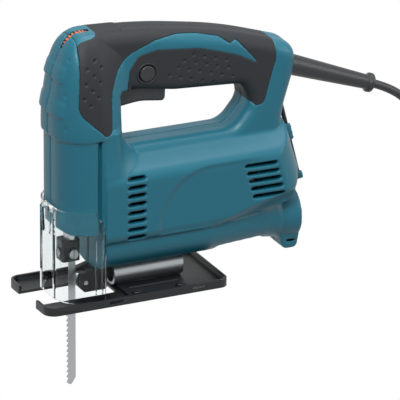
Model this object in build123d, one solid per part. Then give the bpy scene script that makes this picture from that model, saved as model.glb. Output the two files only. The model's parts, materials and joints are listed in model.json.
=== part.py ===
from build123d import *
import os
from math import atan2, cos, degrees, pi, radians, sin, sqrt, tan

# A corded jigsaw. X runs from the blade to the rear, Y to the tool's right side, Z up.
# The origin lies on the sole, on the centre plane, and the blade stands at BLADE_X.

# Clearances
FIT = 0.05
RUN = 0.3
SEAT = 0.1

# Overall places on the centre plane
BLADE_X = 0.0
MOTOR_Z = 72.0
PIVOT_Z = 11.0
FLOOR_Z = -71.0

# Moulded housing
COLUMN_HALF = 30.0
COLUMN_FRONT = -15.7
COLUMN_BOTTOM = 55.0
COLUMN_CORNER = 23.0
NOSE_BOTTOM = 127.0
BODY_HALF = 33.0
BODY_FRONT = 14.0
BODY_BOTTOM = 44.0
REAR_FOOT_X = 186.0
REAR_ROUND = 31.0
REAR_LEAN = 0.29
SHOULDER_Z = 97.0
SADDLE_Z = 118.5
KEEL_HALF = 28.0
KEEL_BOTTOM = 21.0
KEEL_TOP = 72.0
KEEL_CORNER = 20.0
HANDLE_HALF = 17.0
HANDLE_ROUND = 10.0
HANDLE_FOOT = 98.0
GRIP_DEPTH = 1.6
DIMPLE_RADIUS = 0.95
DIMPLE_DEPTH = 0.7
PAD_RISE = 0.7
GUARD_GROOVE = (9.0, 12.0)
GROOVE_DEPTH = 2.6
WALL = 3.0

# Vents
VENT_HEIGHT = 3.2
VENT_INNER = 15.0
FRONT_VENT_COUNT = 8
FRONT_VENT_PITCH = 6.45
FRONT_VENT_LENGTH = 15.0
FRONT_VENT_START = (31.0, 49.0)
REAR_VENT_COUNT = 5
REAR_VENT_PITCH = 6.1
REAR_VENT_LENGTH = 26.0
REAR_VENT_START = (131.0, 64.8)
REAR_VENT_STEP = -1.55

# Dust outlet at the rear
PORT_Z = 37.0
PORT_RADIUS = 17.0
PORT_BORE = 24.0
PORT_DEPTH = 30.0
PORT_REAR = 177.0

# Drive
PINION_TEETH = 12
GEAR_TEETH = 48
MODULE = 0.9
BACKLASH = 0.34
CRANK_RADIUS = 9.0
PIN_DIAMETER = 6.0
GEAR_FRONT = 12.0
GEAR_WIDTH = 8.0
SHAFT_DIAMETER = 8.0
GEAR_SHAFT_DIAMETER = 10.0
CASE_HALF = 25.5
CASE_FRONT = -9.0
CASE_REAR = 38.0
CASE_BOTTOM = 56.0
CASE_TOP = 129.0
CASE_WALL = 2.6
CASE_CORNER = 20.0
CASE_STEP = 25.0
BUSH_RADIUS = 8.0
LOWER_BUSH_TOP = 78.0
UPPER_BUSH_BOTTOM = 118.0

# Motor
STATOR_RADIUS = 27.0
STATOR_BORE = 16.0
STATOR_FRONT = 66.0
STATOR_LENGTH = 44.0
ARMATURE_RADIUS = 15.4
ARMATURE_LENGTH = 42.0
COMMUTATOR_RADIUS = 11.0
COMMUTATOR_LENGTH = 14.0
FAN_RADIUS = 25.0
FAN_WIDTH = 10.0
BEARING_WIDTH = 7.0
BEARING_RADIUS = 11.0
MOTOR_CAVITY = 28.4
COMMUTATOR_REAR = 136.0
REAR_BEARING_X = 146.0
FAN_X = CASE_REAR + 3
BRUSH_HOLDER = 6.5

# Trigger, switch, lock button and speed dial; pairs are (x, z) or a span along X
TRIGGER_FRONT = 34.0
TRIGGER_REAR = 72.8
TRIGGER_TRAVEL = 6.0
SWITCH_X = (58.0, 84.0)
SWITCH_Z = 173.0
BUTTON_RADIUS = 6.0
BUTTON_XZ = (53.6, 168.2)
DIAL_XZ = (8.0, 188.5)
DIAL_RADIUS = 14.6
DIAL_HALF = 2.2
DIAL_PIN = 2.0

# Plunger, clamp and blade
ROD_DIAMETER = 11.0
STROKE = 18.0
ROD_BOTTOM = 40.0
ROD_SPIGOT = 4.5
ROD_TOP = 138.0
YOKE_HALF = 14.5
YOKE_WALL = 3.4
YOKE_REAR = 10.0
CLAMP_SIZE = (14.0, 13.0, 16.0)
CLAMP_BOTTOM = 28.0
BLADE_TIP_Z = -70.5
BLADE_WIDTH = 7.0
BLADE_THICKNESS = 1.2
TOOTH_PITCH = 4.0
TOOTH_DEPTH = 1.7
TOOTH_COUNT = 16
BLADE_TOP = CLAMP_BOTTOM + 10.0

# Guide roller behind the blade
ROLLER_RADIUS = 5.6
ROLLER_GROOVE = 4.7
ROLLER_HALF = 3.5
ROLLER_PIN = 1.6
ROLLER_X = BLADE_WIDTH / 2 + ROLLER_GROOVE + FIT
ROLLER_Z = 10.3

# Base
BASE_FRONT = -34.5
BASE_REAR = 110.5
BASE_HALF = 36.0
SHEET = 2.0
RIM_HEIGHT = 6.2
NOTCH_HALF = 15.0
NOTCH_REAR = 30.0
BARREL_RADIUS = 9.0
BARREL_FRONT = 31.0
BARREL_REAR = 86.0
FLANGE_SHEET = 1.5
FENCE_SLOT = (11.0, 2.4)
FENCE_SLOT_X = 20.5
BARREL_BORE = 6.6
RIVET_RADIUS = 2.0

# Clear chip guard
GUARD_WALL = 2.0
GUARD_TOP = 73.0
GUARD_BOTTOM = SHEET + 0.8

# Screws and the clamp bolt of the base
SCREW_RADIUS = 1.9
SCREW_HEAD = 3.6
BOLT_X = 58.5
BOLT_RADIUS = 2.5
BOLT_HEAD = 4.2
BOLT_TOP = KEEL_BOTTOM + 6.0

# Hex key kept on the rear face: the two ends of its long leg, as (x, z)
WRENCH_LOW = (182.8, 60.6)
WRENCH_HIGH = (168.4, 119.6)
WRENCH_SIZE = 3.0

# Cord, its guard sleeve, the put-away coil and the plug
CORD_DIAMETER = 6.5
GUARD_ROOT = (176.5, 0.0, 149.5)
GUARD_ANGLE = 21.2
GUARD_LENGTH = 69.0
SLEEVE_RADIUS = 7.75
SLEEVE_INSIDE = 12.0
LEAD_INSIDE = 34.0
COIL_PITCH = 7.0
COIL_OUTER = 46.0
COIL_HALF_TURNS = 3
COIL_LAYERS = 4
COIL_CENTRE = (330.0, 0.0)
COIL_LOW_Z = FLOOR_Z + CORD_DIAMETER / 2 + 1.0
TIE = 0.7
TAIL_RUN = 28.0
PLUG_Y = 16.0
PLUG_Z = COIL_LOW_Z + (COIL_LAYERS - 1) * COIL_PITCH + 10.6
PLUG_LENGTH = 44.0

# Gear centres
MOTOR_GEAR_DISTANCE = MODULE * (PINION_TEETH + GEAR_TEETH) / 2
GEAR_Z = MOTOR_Z + MOTOR_GEAR_DISTANCE


def side(sketch):
    """Stand a sketch drawn in (x, z) up on the centre plane."""
    return Plane.XZ * sketch


def slab(sketch, half):
    """A side outline carried out to both sides by its half width."""
    return extrude(side(sketch), amount=half, both=True)


def block(x, y, z):
    """A box from its lowest and highest values along each axis."""
    size = [b - a for a, b in (x, y, z)]
    return Pos(x[0], y[0], z[0]) * Box(*size, align=(Align.MIN,) * 3)


def rod_x(radius, start, end, y=0.0, z=0.0):
    """A round bar along X."""
    return Pos(start, y, z) * Rot(0, 90, 0) * Cylinder(
        radius, end - start, align=(Align.CENTER, Align.CENTER, Align.MIN))


def rod_y(radius, start, end, x=0.0, z=0.0):
    """A round bar along Y."""
    return Pos(x, start, z) * Rot(-90, 0, 0) * Cylinder(
        radius, end - start, align=(Align.CENTER, Align.CENTER, Align.MIN))


def rod_z(radius, start, end, x=0.0, y=0.0):
    """A round bar along Z."""
    return Pos(x, y, start) * Cylinder(
        radius, end - start, align=(Align.CENTER, Align.CENTER, Align.MIN))


def smooth_face(points, radii):
    """A closed outline of straight runs with a rounded corner at each point."""
    return make_face(FilletPolyline(*points, radius=radii, close=True))


# Outer forms of the housing
def nose_section(z, front, half, corner, shoulder, rear, rear_half):
    """One level cut through the nose: a broad round front that draws in to the handle."""
    points = [(front, -half), (shoulder, -half), (rear, -rear_half),
              (rear, rear_half), (shoulder, half), (front, half)]
    soft = min(corner * 0.7, 14.0)
    radii = [corner, soft, 4.0, 4.0, soft, corner]
    return Pos(0, 0, z) * smooth_face(points, radii)


def nose(inset=0.0):
    """The head over the column, lofted from level cuts."""
    levels = [
        (NOSE_BOTTOM, -17.9, 31.0, 24.5, 15.0, 44.0, 15.5),
        (145.0, -17.6, 30.2, 23.5, 14.0, 43.0, 15.5),
        (165.0, -15.2, 28.0, 21.0, 13.0, 42.0, 15.0),
        (182.0, -11.5, 24.5, 17.0, 13.0, 41.0, 14.5),
        (195.0, -6.0, 18.5, 12.5, 14.0, 40.0, 12.0),
        (202.5, 2.5, 10.5, 8.0, 16.0, 38.0, 7.0),
    ]
    cuts = []
    for z, front, half, corner, shoulder, rear, rear_half in levels:
        cuts.append(nose_section(z, front + inset, half - inset, corner - inset,
                                 shoulder, rear - inset, rear_half - inset))
    head = loft(cuts)
    if inset:
        head = Pos(0, 0, -inset) * head
    return head


def opening_outline(grow=0.0):
    """The finger gap of the closed handle."""
    points = [(31.0, 114.0), (31.0, 158.5), (77.0, 150.0), (131.0, 146.0),
              (138.0, 131.0), (123.0, 113.0)]
    radii = [7.0, 3.0, 30.0, 6.0, 12.0, 16.0]
    face = smooth_face(points, radii)
    if grow:
        face = offset(face, amount=grow)
    return face


def handle_outline(inset=0.0):
    """The closed handle seen from the side, carried down into the body."""
    points = [(-3.0, 60.0), (-3.0, 204.0), (60.0, 199.4), (120.0, 188.4), (175.0, 169.8),
              (173.5, 150.0), (163.5, 118.0), (166.0, 60.0)]
    radii = [1.0, 16.0, 400.0, 300.0, 13.5, 60.0, 60.0, 1.0]
    face = smooth_face(points, radii)
    if inset:
        face = offset(face, amount=-inset)
    return face - Pos(83, 70) * Rectangle(200, 2 * (HANDLE_FOOT - 70))


def handle(inset=0.0):
    """The closed handle, rounded all along its outer rim and round its finger gap."""
    half = HANDLE_HALF - inset
    solid = slab(handle_outline(inset), half)
    rim = [edge for edge in solid.edges()
           if abs(abs(edge.center().Y) - half) < 0.01 and edge.center().Z > HANDLE_FOOT + 1]
    solid = fillet(rim, HANDLE_ROUND - inset)
    solid = solid - slab(opening_outline(inset), half + 1)
    lip = [edge for edge in solid.edges()
           if abs(abs(edge.center().Y) - half) < 0.01 and 104 < edge.center().Z < 162
           and 28 < edge.center().X < 142]
    return fillet(lip, HANDLE_ROUND - inset - 2.0)


def body_section():
    """The motor body cut across: flat flanks under a sloping shoulder."""
    return smooth_face(
        [(BODY_HALF, BODY_BOTTOM), (BODY_HALF, SHOULDER_Z), (0.0, SADDLE_Z), (-BODY_HALF, SHOULDER_Z),
         (-BODY_HALF, BODY_BOTTOM)],
        [9.0, 12.0, 25.0, 12.0, 9.0])


def body_form():
    """The motor body, drawn in towards the rear."""
    long_body = extrude(Plane.YZ.offset(BODY_FRONT) * body_section(), amount=180)
    outline = smooth_face(
        [(BODY_FRONT, BODY_BOTTOM - 2), (BODY_FRONT, SADDLE_Z + 2), (185.0, SADDLE_Z + 2), (181.0, 76.0),
         (172.0, 58.0), (158.0, BODY_BOTTOM + 9), (90.0, BODY_BOTTOM + 2)],
        [1.0, 1.0, 1.0, 12.0, 8.0, 12.0, 30.0])
    body = long_body & slab(outline, 60)
    rear = smooth_face(
        [(-20.0, -BODY_HALF - 2), (REAR_FOOT_X, -BODY_HALF - 2), (REAR_FOOT_X, BODY_HALF + 2),
         (-20.0, BODY_HALF + 2)],
        [1.0, REAR_ROUND, REAR_ROUND, 1.0])
    rise = 150.0 - BODY_BOTTOM
    leaning = extrude(Pos(0, 0, BODY_BOTTOM) * rear, amount=rise * 1.03, dir=(-REAR_LEAN, 0, 1))
    return body & leaning


def keel_form():
    """The duct along the bottom, drawn in to the round dust outlet at the rear."""
    height = KEEL_TOP - KEEL_BOTTOM
    middle = KEEL_BOTTOM + height / 2

    def cut(x, width, tall, corner, z):
        return Plane(origin=(x, 0, z), x_dir=(0, 1, 0), z_dir=(1, 0, 0)) * RectangleRounded(width, tall, corner)

    front = loft([cut(BODY_FRONT, 2 * KEEL_HALF, height, KEEL_CORNER, middle),
                  cut(100.0, 2 * KEEL_HALF, height, KEEL_CORNER, middle)])
    rear = loft([cut(100.0, 2 * KEEL_HALF, height, KEEL_CORNER, middle),
                 cut(160.0, 2 * PORT_RADIUS + 2, 2 * PORT_RADIUS + 2, PORT_RADIUS + 0.9, PORT_Z + 1)])
    spout = rod_x(PORT_RADIUS, 150.0, PORT_REAR, z=PORT_Z)
    step = slab(smooth_face([(104.0, 10.0), (108.0, 26.5), (150.0, 26.5), (158.0, 14.0)],
                            [1.0, 2.0, 10.0, 1.0]), 40)
    foot = slab(smooth_face([(161.0, 30.0), (164.0, 11.0), (176.0, 11.0), (177.0, 30.0)],
                            [1.0, 5.0, 4.0, 1.0]), 12.0)
    window = slab(smooth_face([(167.0, 17.0), (167.0, 19.9), (174.0, 19.9), (174.0, 17.0)],
                              [1.0, 1.0, 1.0, 1.0]), 13.0)
    return (front + rear - step) + spout + foot - window


def saddle_form():
    """The pad under the body that seats on the bevel barrel."""
    pad = block((BARREL_FRONT + 2, BARREL_REAR - 2), (-7.0, 7.0), (PIVOT_Z + 5.5, KEEL_BOTTOM + 6))
    return pad - rod_x(BARREL_RADIUS + RUN, BARREL_FRONT - 1, BARREL_REAR + 1, z=PIVOT_Z)


def column_form():
    """The slim front column that the chip guard slides on."""
    plan = smooth_face(
        [(COLUMN_FRONT, -COLUMN_HALF), (BODY_FRONT + 2, -COLUMN_HALF), (BODY_FRONT + 2, COLUMN_HALF),
         (COLUMN_FRONT, COLUMN_HALF)],
        [COLUMN_CORNER, 0.5, 0.5, COLUMN_CORNER])
    return extrude(Pos(0, 0, COLUMN_BOTTOM) * plan, amount=NOSE_BOTTOM - COLUMN_BOTTOM + 4)


def neck_form():
    """The shoulder that sweeps from the body up into the nose and covers the top of the gear case."""
    levels = [
        (86.0, 32.8, 84.0, 31.0),
        (93.0, 32.6, 70.0, 27.0),
        (100.0, 32.0, 57.0, 22.0),
        (107.0, 31.0, 47.5, 17.0),
        (115.0, 30.4, 39.5, 16.0),
        (124.0, 30.0, 35.0, 15.6),
        (NOSE_BOTTOM + 4, 30.0, 33.0, 15.5),
    ]
    cuts = []
    for z, half, rear, rear_half in levels:
        points = [(BODY_FRONT, -half), (26.5, 1 - half), (rear, -rear_half), (rear, rear_half),
                  (26.5, half - 1), (BODY_FRONT, half)]
        cuts.append(Pos(0, 0, z) * smooth_face(points, [0.5, 6.0, 4.0, 4.0, 6.0, 0.5]))
    return loft(cuts)


def wrench_clip_form():
    """Two open clips on the rear face that hold the hex key."""
    low, high = WRENCH_LOW, WRENCH_HIGH
    lean = atan2(high[0] - low[0], high[1] - low[1])

    def clip(along, length, half):
        x = low[0] + sin(lean) * along
        z = low[1] + cos(lean) * along
        body = Pos(x - 5.6, 0, z) * Rot(0, degrees(lean), 0) * Box(16.0, 2 * half, length)
        return fillet(body.edges().filter_by(Axis.Y), 1.2)

    return clip(38.0, 14.0, 4.2) + clip(1.5, 7.0, 4.2)


def wrench_channel():
    """The room that the hex key needs to be drawn out to the rear."""
    low, high = WRENCH_LOW, WRENCH_HIGH
    lean = atan2(high[0] - low[0], high[1] - low[1])
    length = sqrt((high[0] - low[0]) ** 2 + (high[1] - low[1]) ** 2)
    wide = WRENCH_SIZE + 2 * RUN + 0.4
    return Pos(low[0], 0, low[1]) * Rot(0, degrees(lean), 0) * Pos(8.0 - wide / 2, 0, length / 2) * Box(
        16.0, wide, length + 3.0)


def nose_pads():
    """Two slightly raised pads across the front of the nose."""
    raised = nose(-PAD_RISE)
    low = raised & block((-40, 0), (-19.5, 19.5), (145.5, 155.5))
    high = raised & block((-40, 0), (-15.5, 15.5), (171.0, 181.0))
    return low + high


def grip_dimples():
    """Bars along Y for the blind dimples: a staggered column on the nose, slanting rows on the handle."""
    places = []
    for row in range(7):
        x = 9.5 - 0.95 * row
        z = 187.0 - 5.3 * row
        places += [(x - 5.5, z), (x + 5.5, z)] if row % 2 else [(x, z)]
    for x, z, count in ((90.6, 176.7, 4), (83.6, 173.2, 5), (78.4, 168.6, 6), (71.4, 163.6, 5)):
        places += [(x + 8.7 * i, z - 2.7 * i) for i in range(count)]
    return [rod_y(DIMPLE_RADIUS, -40.0, 40.0, x=x, z=z) for x, z in places]


def upper_patch():
    """The soft covering on the side of the nose and over the top of the handle, notched below."""
    points = [(2.0, 212.0), (-1.0, 195.0), (-5.0, 153.0), (-2.5, 147.0), (15.0, 130.0), (21.0, 130.0),
              (22.5, 160.0), (29.0, 176.0), (40.0, 185.0), (60.0, 192.6), (78.0, 193.8), (95.0, 191.3),
              (112.0, 186.8), (120.0, 180.5), (125.0, 183.0), (141.4, 163.0), (156.5, 160.0), (157.0, 212.0)]
    radii = [1.0, 30.0, 4.0, 4.0, 3.0, 3.0, 20.0, 20.0, 20.0, 20.0, 40.0, 40.0, 2.0, 2.0, 2.0, 1.0, 1.0, 1.0]
    return smooth_face(points, radii)


def lower_patch():
    """The soft covering over the sides and underside of the handle and its rear strut."""
    points = [(37.5, 138.0), (39.5, 172.0), (47.0, 182.5), (62.0, 185.0), (96.0, 181.0), (126.0, 171.0),
              (141.2, 162.4), (156.8, 165.0), (155.5, 160.0), (147.0, 130.5), (141.0, 129.0), (127.0, 139.5)]
    radii = [1.0, 6.0, 6.0, 20.0, 40.0, 40.0, 1.0, 1.0, 2.0, 3.0, 3.0, 6.0]
    return smooth_face(points, radii)


def vent_slots():
    """All cooling slots, through both flanks."""
    slots = []
    x, z = FRONT_VENT_START
    for i in range(FRONT_VENT_COUNT):
        slots.append(Pos(x + FRONT_VENT_LENGTH / 2, z + i * FRONT_VENT_PITCH)
                     * SlotOverall(FRONT_VENT_LENGTH, VENT_HEIGHT))
    x, z = REAR_VENT_START
    for i in range(REAR_VENT_COUNT):
        slots.append(Pos(x + REAR_VENT_LENGTH / 2 + i * REAR_VENT_STEP, z + i * REAR_VENT_PITCH)
                     * SlotOverall(REAR_VENT_LENGTH, VENT_HEIGHT))
    cut = None
    for slot in slots:
        near = extrude(Plane.XZ.offset(VENT_INNER) * slot, amount=30)
        far = extrude(Plane.XZ.offset(-VENT_INNER) * slot, amount=-30)
        cut = near + far if cut is None else cut + near + far
    return cut


def case_plan(inset=0.0):
    """The gear case seen from above."""
    corner = CASE_CORNER - inset
    return smooth_face(
        [(CASE_FRONT + inset, -CASE_HALF + inset), (CASE_REAR - inset, -CASE_HALF + inset),
         (CASE_REAR - inset, CASE_HALF - inset), (CASE_FRONT + inset, CASE_HALF - inset)],
        [corner, 3.0, 3.0, corner])


def case_form(grow=0.0):
    """The outside of the gear case: tall over the gear, lower where it runs into the motor body."""
    height = CASE_TOP - CASE_BOTTOM + 2 * grow
    prism = extrude(Pos(0, 0, CASE_BOTTOM - grow) * case_plan(-grow), amount=height)
    tall = block((-60, CASE_STEP + grow), (-60, 60), (0, 200))
    low = extrude(Plane.YZ * offset(body_section(), amount=-WALL + grow), amount=60)
    return prism & (tall + low)


def housing_room():
    """Everything that is hollow inside the moulded shells."""
    case = case_form(SEAT)
    under_case = block((-9.5, 9.5), (-9.5, 9.5), (40.0, CASE_BOTTOM + 1))
    over_rod = rod_z(ROD_DIAMETER / 2 + 2, CASE_TOP - 1, ROD_TOP + STROKE / 2 + 3, x=BLADE_X)
    motor = rod_x(MOTOR_CAVITY, CASE_REAR - 1, COMMUTATOR_REAR + 6, z=MOTOR_Z)
    seat_end = REAR_BEARING_X + BEARING_WIDTH + SEAT
    rear_seat = rod_x(BEARING_RADIUS + SEAT, COMMUTATOR_REAR + 5, seat_end, z=MOTOR_Z)
    trigger_room = block((TRIGGER_FRONT - 0.5, TRIGGER_REAR + 0.5), (-9.4, 9.4), (135.0, 163.0))
    stem_room = block((60.0, 71.0), (-4.6, 4.6), (160.0, SWITCH_Z + 1))
    switch = block((SWITCH_X[0] - SEAT, SWITCH_X[1] + SEAT), (-8.0 - SEAT, 8.0 + SEAT),
                   (SWITCH_Z - SEAT, SWITCH_Z + 14 + SEAT))
    button = rod_y(BUTTON_RADIUS + RUN, -30.0, -6.0, x=BUTTON_XZ[0], z=BUTTON_XZ[1])
    dial = rod_y(DIAL_RADIUS + 0.5, -DIAL_HALF - RUN, DIAL_HALF + RUN, x=DIAL_XZ[0], z=DIAL_XZ[1])
    dial_pin = rod_y(DIAL_PIN + FIT, -DIAL_HALF - 5, DIAL_HALF + 5, x=DIAL_XZ[0], z=DIAL_XZ[1])
    controller = block((17.0, 31.0), (-9.0 - SEAT, 9.0 + SEAT), (163.0, 171.0))
    duct = rod_x(PORT_BORE / 2, PORT_REAR - PORT_DEPTH, PORT_REAR + 1, z=PORT_Z)
    duct_inner = block((20.0, PORT_REAR - PORT_DEPTH + 1), (-9.0, 9.0), (KEEL_BOTTOM + 6, KEEL_BOTTOM + 19))
    bolt = rod_z(BOLT_RADIUS + 0.2, 10.0, BOLT_TOP + 0.2, x=BOLT_X)
    nut_seat = block((BOLT_X - 6.1, BOLT_X + 6.1), (-6.1, 6.1), (BOLT_TOP - 4.1, BOLT_TOP + 0.1))
    return (case + under_case + over_rod + motor + rear_seat + trigger_room + stem_room + switch + button + dial
            + dial_pin + controller + duct + duct_inner + bolt + nut_seat)


def brush_axis_rods(radius, inner, outer):
    """A pair of round bars along Y, one to each side of the commutator."""
    x = COMMUTATOR_REAR - COMMUTATOR_LENGTH / 2
    return rod_y(radius, inner, outer, x=x, z=MOTOR_Z) + rod_y(radius, -outer, -inner, x=x, z=MOTOR_Z)


def guard_axis():
    """The plane at the root of the cord guard, looking along the cord."""
    a = radians(GUARD_ANGLE)
    return Plane(origin=GUARD_ROOT, x_dir=(0, 1, 0), z_dir=(cos(a), 0, -sin(a)))


def screw_places():
    """Housing screws as (x, z, depth of the head from the centre plane)."""
    return [(52.0, 36.5, 12.0), (117.0, 40.0, 12.0), (160.0, 100.0, 12.0), (154.0, 134.0, 9.0),
            (29.0, 139.0, 9.0), (96.0, 172.0, 9.0)]


def housing():
    """The two moulded shells and their soft grips, cut apart on the centre plane."""
    gap = slab(opening_outline(), 60)
    head = (nose() - gap) + handle()
    inner_head = (nose(GRIP_DEPTH) - slab(opening_outline(GRIP_DEPTH), 60)) + handle(GRIP_DEPTH)
    dimple_floor = (nose(DIMPLE_DEPTH) - slab(opening_outline(DIMPLE_DEPTH), 60)) + handle(DIMPLE_DEPTH)
    patches = slab(upper_patch(), 60) + slab(lower_patch(), 60)
    chin = block((-60, 60), (-60, 60), (100, NOSE_BOTTOM + GRIP_DEPTH + 1))
    covering = ((head - inner_head) & patches) - chin
    skin = covering - [bar - dimple_floor for bar in grip_dimples()]
    low = column_form() + neck_form() + body_form() + keel_form() + saddle_form() + wrench_clip_form()
    column_foot = slab(Polygon((-30, 66), (6, 46), (BODY_FRONT - 0.2, 46), (BODY_FRONT - 0.2, 20), (-30, 20),
                               align=None), 60)
    grooves = None
    for s in (-1, 1):
        groove = block(GUARD_GROOVE, (s * COLUMN_HALF - GROOVE_DEPTH, s * COLUMN_HALF + GROOVE_DEPTH),
                       (40.0, NOSE_BOTTOM))
        grooves = groove if grooves is None else grooves + groove
    holes = None
    for x, z, head_y in screw_places():
        shank = rod_y(SCREW_RADIUS + FIT, -10.0, head_y + 1, x=x, z=z)
        hole = shank + rod_y(SCREW_HEAD + RUN, head_y, 60.0, x=x, z=z)
        holes = hole if holes is None else holes + hole
    brush_room = brush_axis_rods(BRUSH_HOLDER + SEAT, 0.0, BODY_HALF - 5.9)
    lead_room = guard_axis() * (Pos(0, 0, -LEAD_INSIDE) * Cylinder(
        CORD_DIAMETER / 2 + SEAT, LEAD_INSIDE + 5, align=(Align.CENTER, Align.CENTER, Align.MIN)))
    sleeve_room = guard_axis() * (Pos(0, 0, -SLEEVE_INSIDE) * Cylinder(
        SLEEVE_RADIUS + SEAT, SLEEVE_INSIDE + 20, align=(Align.CENTER, Align.CENTER, Align.MIN)))
    collar_room = guard_axis() * (Pos(0, 0, -SLEEVE_INSIDE - SEAT) * Cylinder(
        SLEEVE_RADIUS + 3 + SEAT, 4 + 2 * SEAT, align=(Align.CENTER, Align.CENTER, Align.MIN)))
    clamp_room = cord_clamp_box(SEAT)
    solid = head + low + (nose_pads() - head)
    solid = solid - covering - housing_room() - vent_slots() - grooves - holes - column_foot - brush_room
    solid = solid - lead_room - sleeve_room - collar_room - clamp_room - wrench_channel()
    left_side = block((-60, 260), (-80, 0), (-20, 260))
    right_side = block((-60, 260), (0, 80), (-20, 260))
    skin = skin - holes - rod_y(BUTTON_RADIUS + RUN, -30.0, -6.0, x=BUTTON_XZ[0], z=BUTTON_XZ[1])
    skin = skin - block((TRIGGER_FRONT - 0.5, TRIGGER_REAR + 0.5), (-9.4, 9.4), (135.0, 163.0)) - sleeve_room
    skin = skin - rod_y(DIAL_RADIUS + 0.5, -DIAL_HALF - RUN, DIAL_HALF + RUN, x=DIAL_XZ[0], z=DIAL_XZ[1])
    return solid & left_side, solid & right_side, skin & left_side, skin & right_side


def housing_screws():
    """Pan-head screws put in from the right."""
    group = []
    for x, z, head_y in screw_places():
        screw = rod_y(SCREW_RADIUS, -9.5, head_y, x=x, z=z) + rod_y(SCREW_HEAD, head_y, head_y + 3, x=x, z=z)
        socket = rod_y(1.5, head_y + 1.2, head_y + 4, x=x, z=z)
        group.append(screw - socket)
    return group


# Drive train
def gear_wheel(teeth, width, tooth_gap):
    """A spur gear from flat-sided teeth: wide at the root, narrow at the tip, along +X from x = 0."""
    pitch = MODULE * teeth / 2
    root = pitch - 1.2 * MODULE
    tip = pitch + 0.9 * MODULE
    half = pi * MODULE / 4 - tooth_gap / 2
    slope = tan(radians(20.0))
    low = half + (pitch - root) * slope
    high = half - (tip - pitch) * slope
    tooth = Polygon((root - 1, -low), (root, -low), (tip, -high), (tip, high), (root, low), (root - 1, low),
                    align=None)
    face = Circle(root) + [Rot(0, 0, 360 / teeth * i) * tooth for i in range(teeth)]
    return extrude(Plane.YZ * face, amount=width)


def gear_case():
    """The cast gear case with bearing wall and plunger bosses."""
    outer = case_form()
    room = extrude(Pos(0, 0, CASE_BOTTOM + CASE_WALL) * case_plan(CASE_WALL),
                   amount=CASE_TOP - CASE_BOTTOM - 2 * CASE_WALL)
    room = room & block((-60, CASE_STEP - CASE_WALL), (-60, 60), (0, 200))
    lower_boss = rod_z(10.5, CASE_BOTTOM, LOWER_BUSH_TOP, x=BLADE_X)
    bosses = lower_boss + rod_z(10.5, UPPER_BUSH_BOTTOM, CASE_TOP, x=BLADE_X)
    bosses = bosses & block((CASE_FRONT, GEAR_FRONT - 2), (-60, 60), (0, 200))
    bores = rod_z(BUSH_RADIUS, CASE_BOTTOM - 1, CASE_TOP + 1, x=BLADE_X)
    wall_bore = rod_x(BEARING_RADIUS, CASE_STEP - CASE_WALL - 1, CASE_REAR + 1, z=MOTOR_Z)
    pin_bore = rod_x(GEAR_SHAFT_DIAMETER / 2, CASE_STEP - CASE_WALL - 1, CASE_REAR + 1, z=GEAR_Z)
    return outer - room + bosses - bores - wall_bore - pin_bore


def ring_z(outer, inner, start, end, x=0.0, y=0.0):
    """A round sleeve along Z."""
    return rod_z(outer, start, end, x, y) - rod_z(inner, start - 1, end + 1, x, y)


def ring_x(outer, inner, start, end, y=0.0, z=0.0):
    """A round sleeve along X."""
    return rod_x(outer, start, end, y, z) - rod_x(inner, start - 1, end + 1, y, z)


def plunger_bushes():
    """Two plain bushes that the plunger runs in."""
    inner = ROD_DIAMETER / 2 + FIT
    return [ring_z(BUSH_RADIUS, inner, CASE_BOTTOM, LOWER_BUSH_TOP, x=BLADE_X),
            ring_z(BUSH_RADIUS, inner, UPPER_BUSH_BOTTOM, CASE_TOP, x=BLADE_X)]


def drive_gear():
    """The large gear with its crank pin."""
    half_tooth = Rot(180 / GEAR_TEETH, 0, 0)
    wheel = Pos(GEAR_FRONT, 0, GEAR_Z) * half_tooth * gear_wheel(GEAR_TEETH, GEAR_WIDTH, BACKLASH)
    bore = rod_x(GEAR_SHAFT_DIAMETER / 2 + FIT, GEAR_FRONT + 2.5, GEAR_FRONT + GEAR_WIDTH + 1, z=GEAR_Z)
    pockets = None
    for i in range(6):
        a = radians(30 + 60 * i)
        pocket = rod_x(3.4, GEAR_FRONT + 3, GEAR_FRONT + GEAR_WIDTH + 1, y=13 * cos(a), z=GEAR_Z + 13 * sin(a))
        pockets = pocket if pockets is None else pockets + pocket
    pin = rod_x(PIN_DIAMETER / 2, YOKE_REAR + RUN, GEAR_FRONT + 1, y=CRANK_RADIUS, z=GEAR_Z)
    return wheel - bore - pockets + pin


def gear_shaft():
    """The fixed pin that the large gear turns on."""
    return rod_x(GEAR_SHAFT_DIAMETER / 2, GEAR_FRONT + 3, CASE_REAR, z=GEAR_Z)


def armature_shaft():
    """The motor shaft with the pinion cut on its front end."""
    shaft = rod_x(SHAFT_DIAMETER / 2, GEAR_FRONT, REAR_BEARING_X + BEARING_WIDTH, z=MOTOR_Z)
    pinion = Pos(GEAR_FRONT, 0, MOTOR_Z) * gear_wheel(PINION_TEETH, GEAR_WIDTH + 1, BACKLASH)
    return shaft + pinion


def armature_core():
    """The slotted iron core of the armature."""
    front = STATOR_FRONT + 1
    core = ring_x(ARMATURE_RADIUS, SHAFT_DIAMETER / 2, front, front + ARMATURE_LENGTH, z=MOTOR_Z)
    slots = 12
    cut = None
    for i in range(slots):
        slot = Pos(front - 1, 0, MOTOR_Z) * Rot(360 / slots * i, 0, 0) * Pos(0, 0, ARMATURE_RADIUS) * Box(
            ARMATURE_LENGTH + 4, 2.2, 8.0, align=(Align.MIN, Align.CENTER, Align.CENTER))
        cut = slot if cut is None else cut + slot
    return core - cut


def armature_windings():
    """The wound ends of the armature, one ring at each end of the core."""
    front = STATOR_FRONT + 1
    rings = []
    for start, end in ((front - 7, front), (front + ARMATURE_LENGTH, front + ARMATURE_LENGTH + 7)):
        ring = ring_x(ARMATURE_RADIUS - 1.5, SHAFT_DIAMETER / 2, start, end, z=MOTOR_Z)
        rings.append(fillet(ring.edges().filter_by(GeomType.CIRCLE).sort_by(SortBy.RADIUS)[-2:], 2.5))
    return rings


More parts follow.
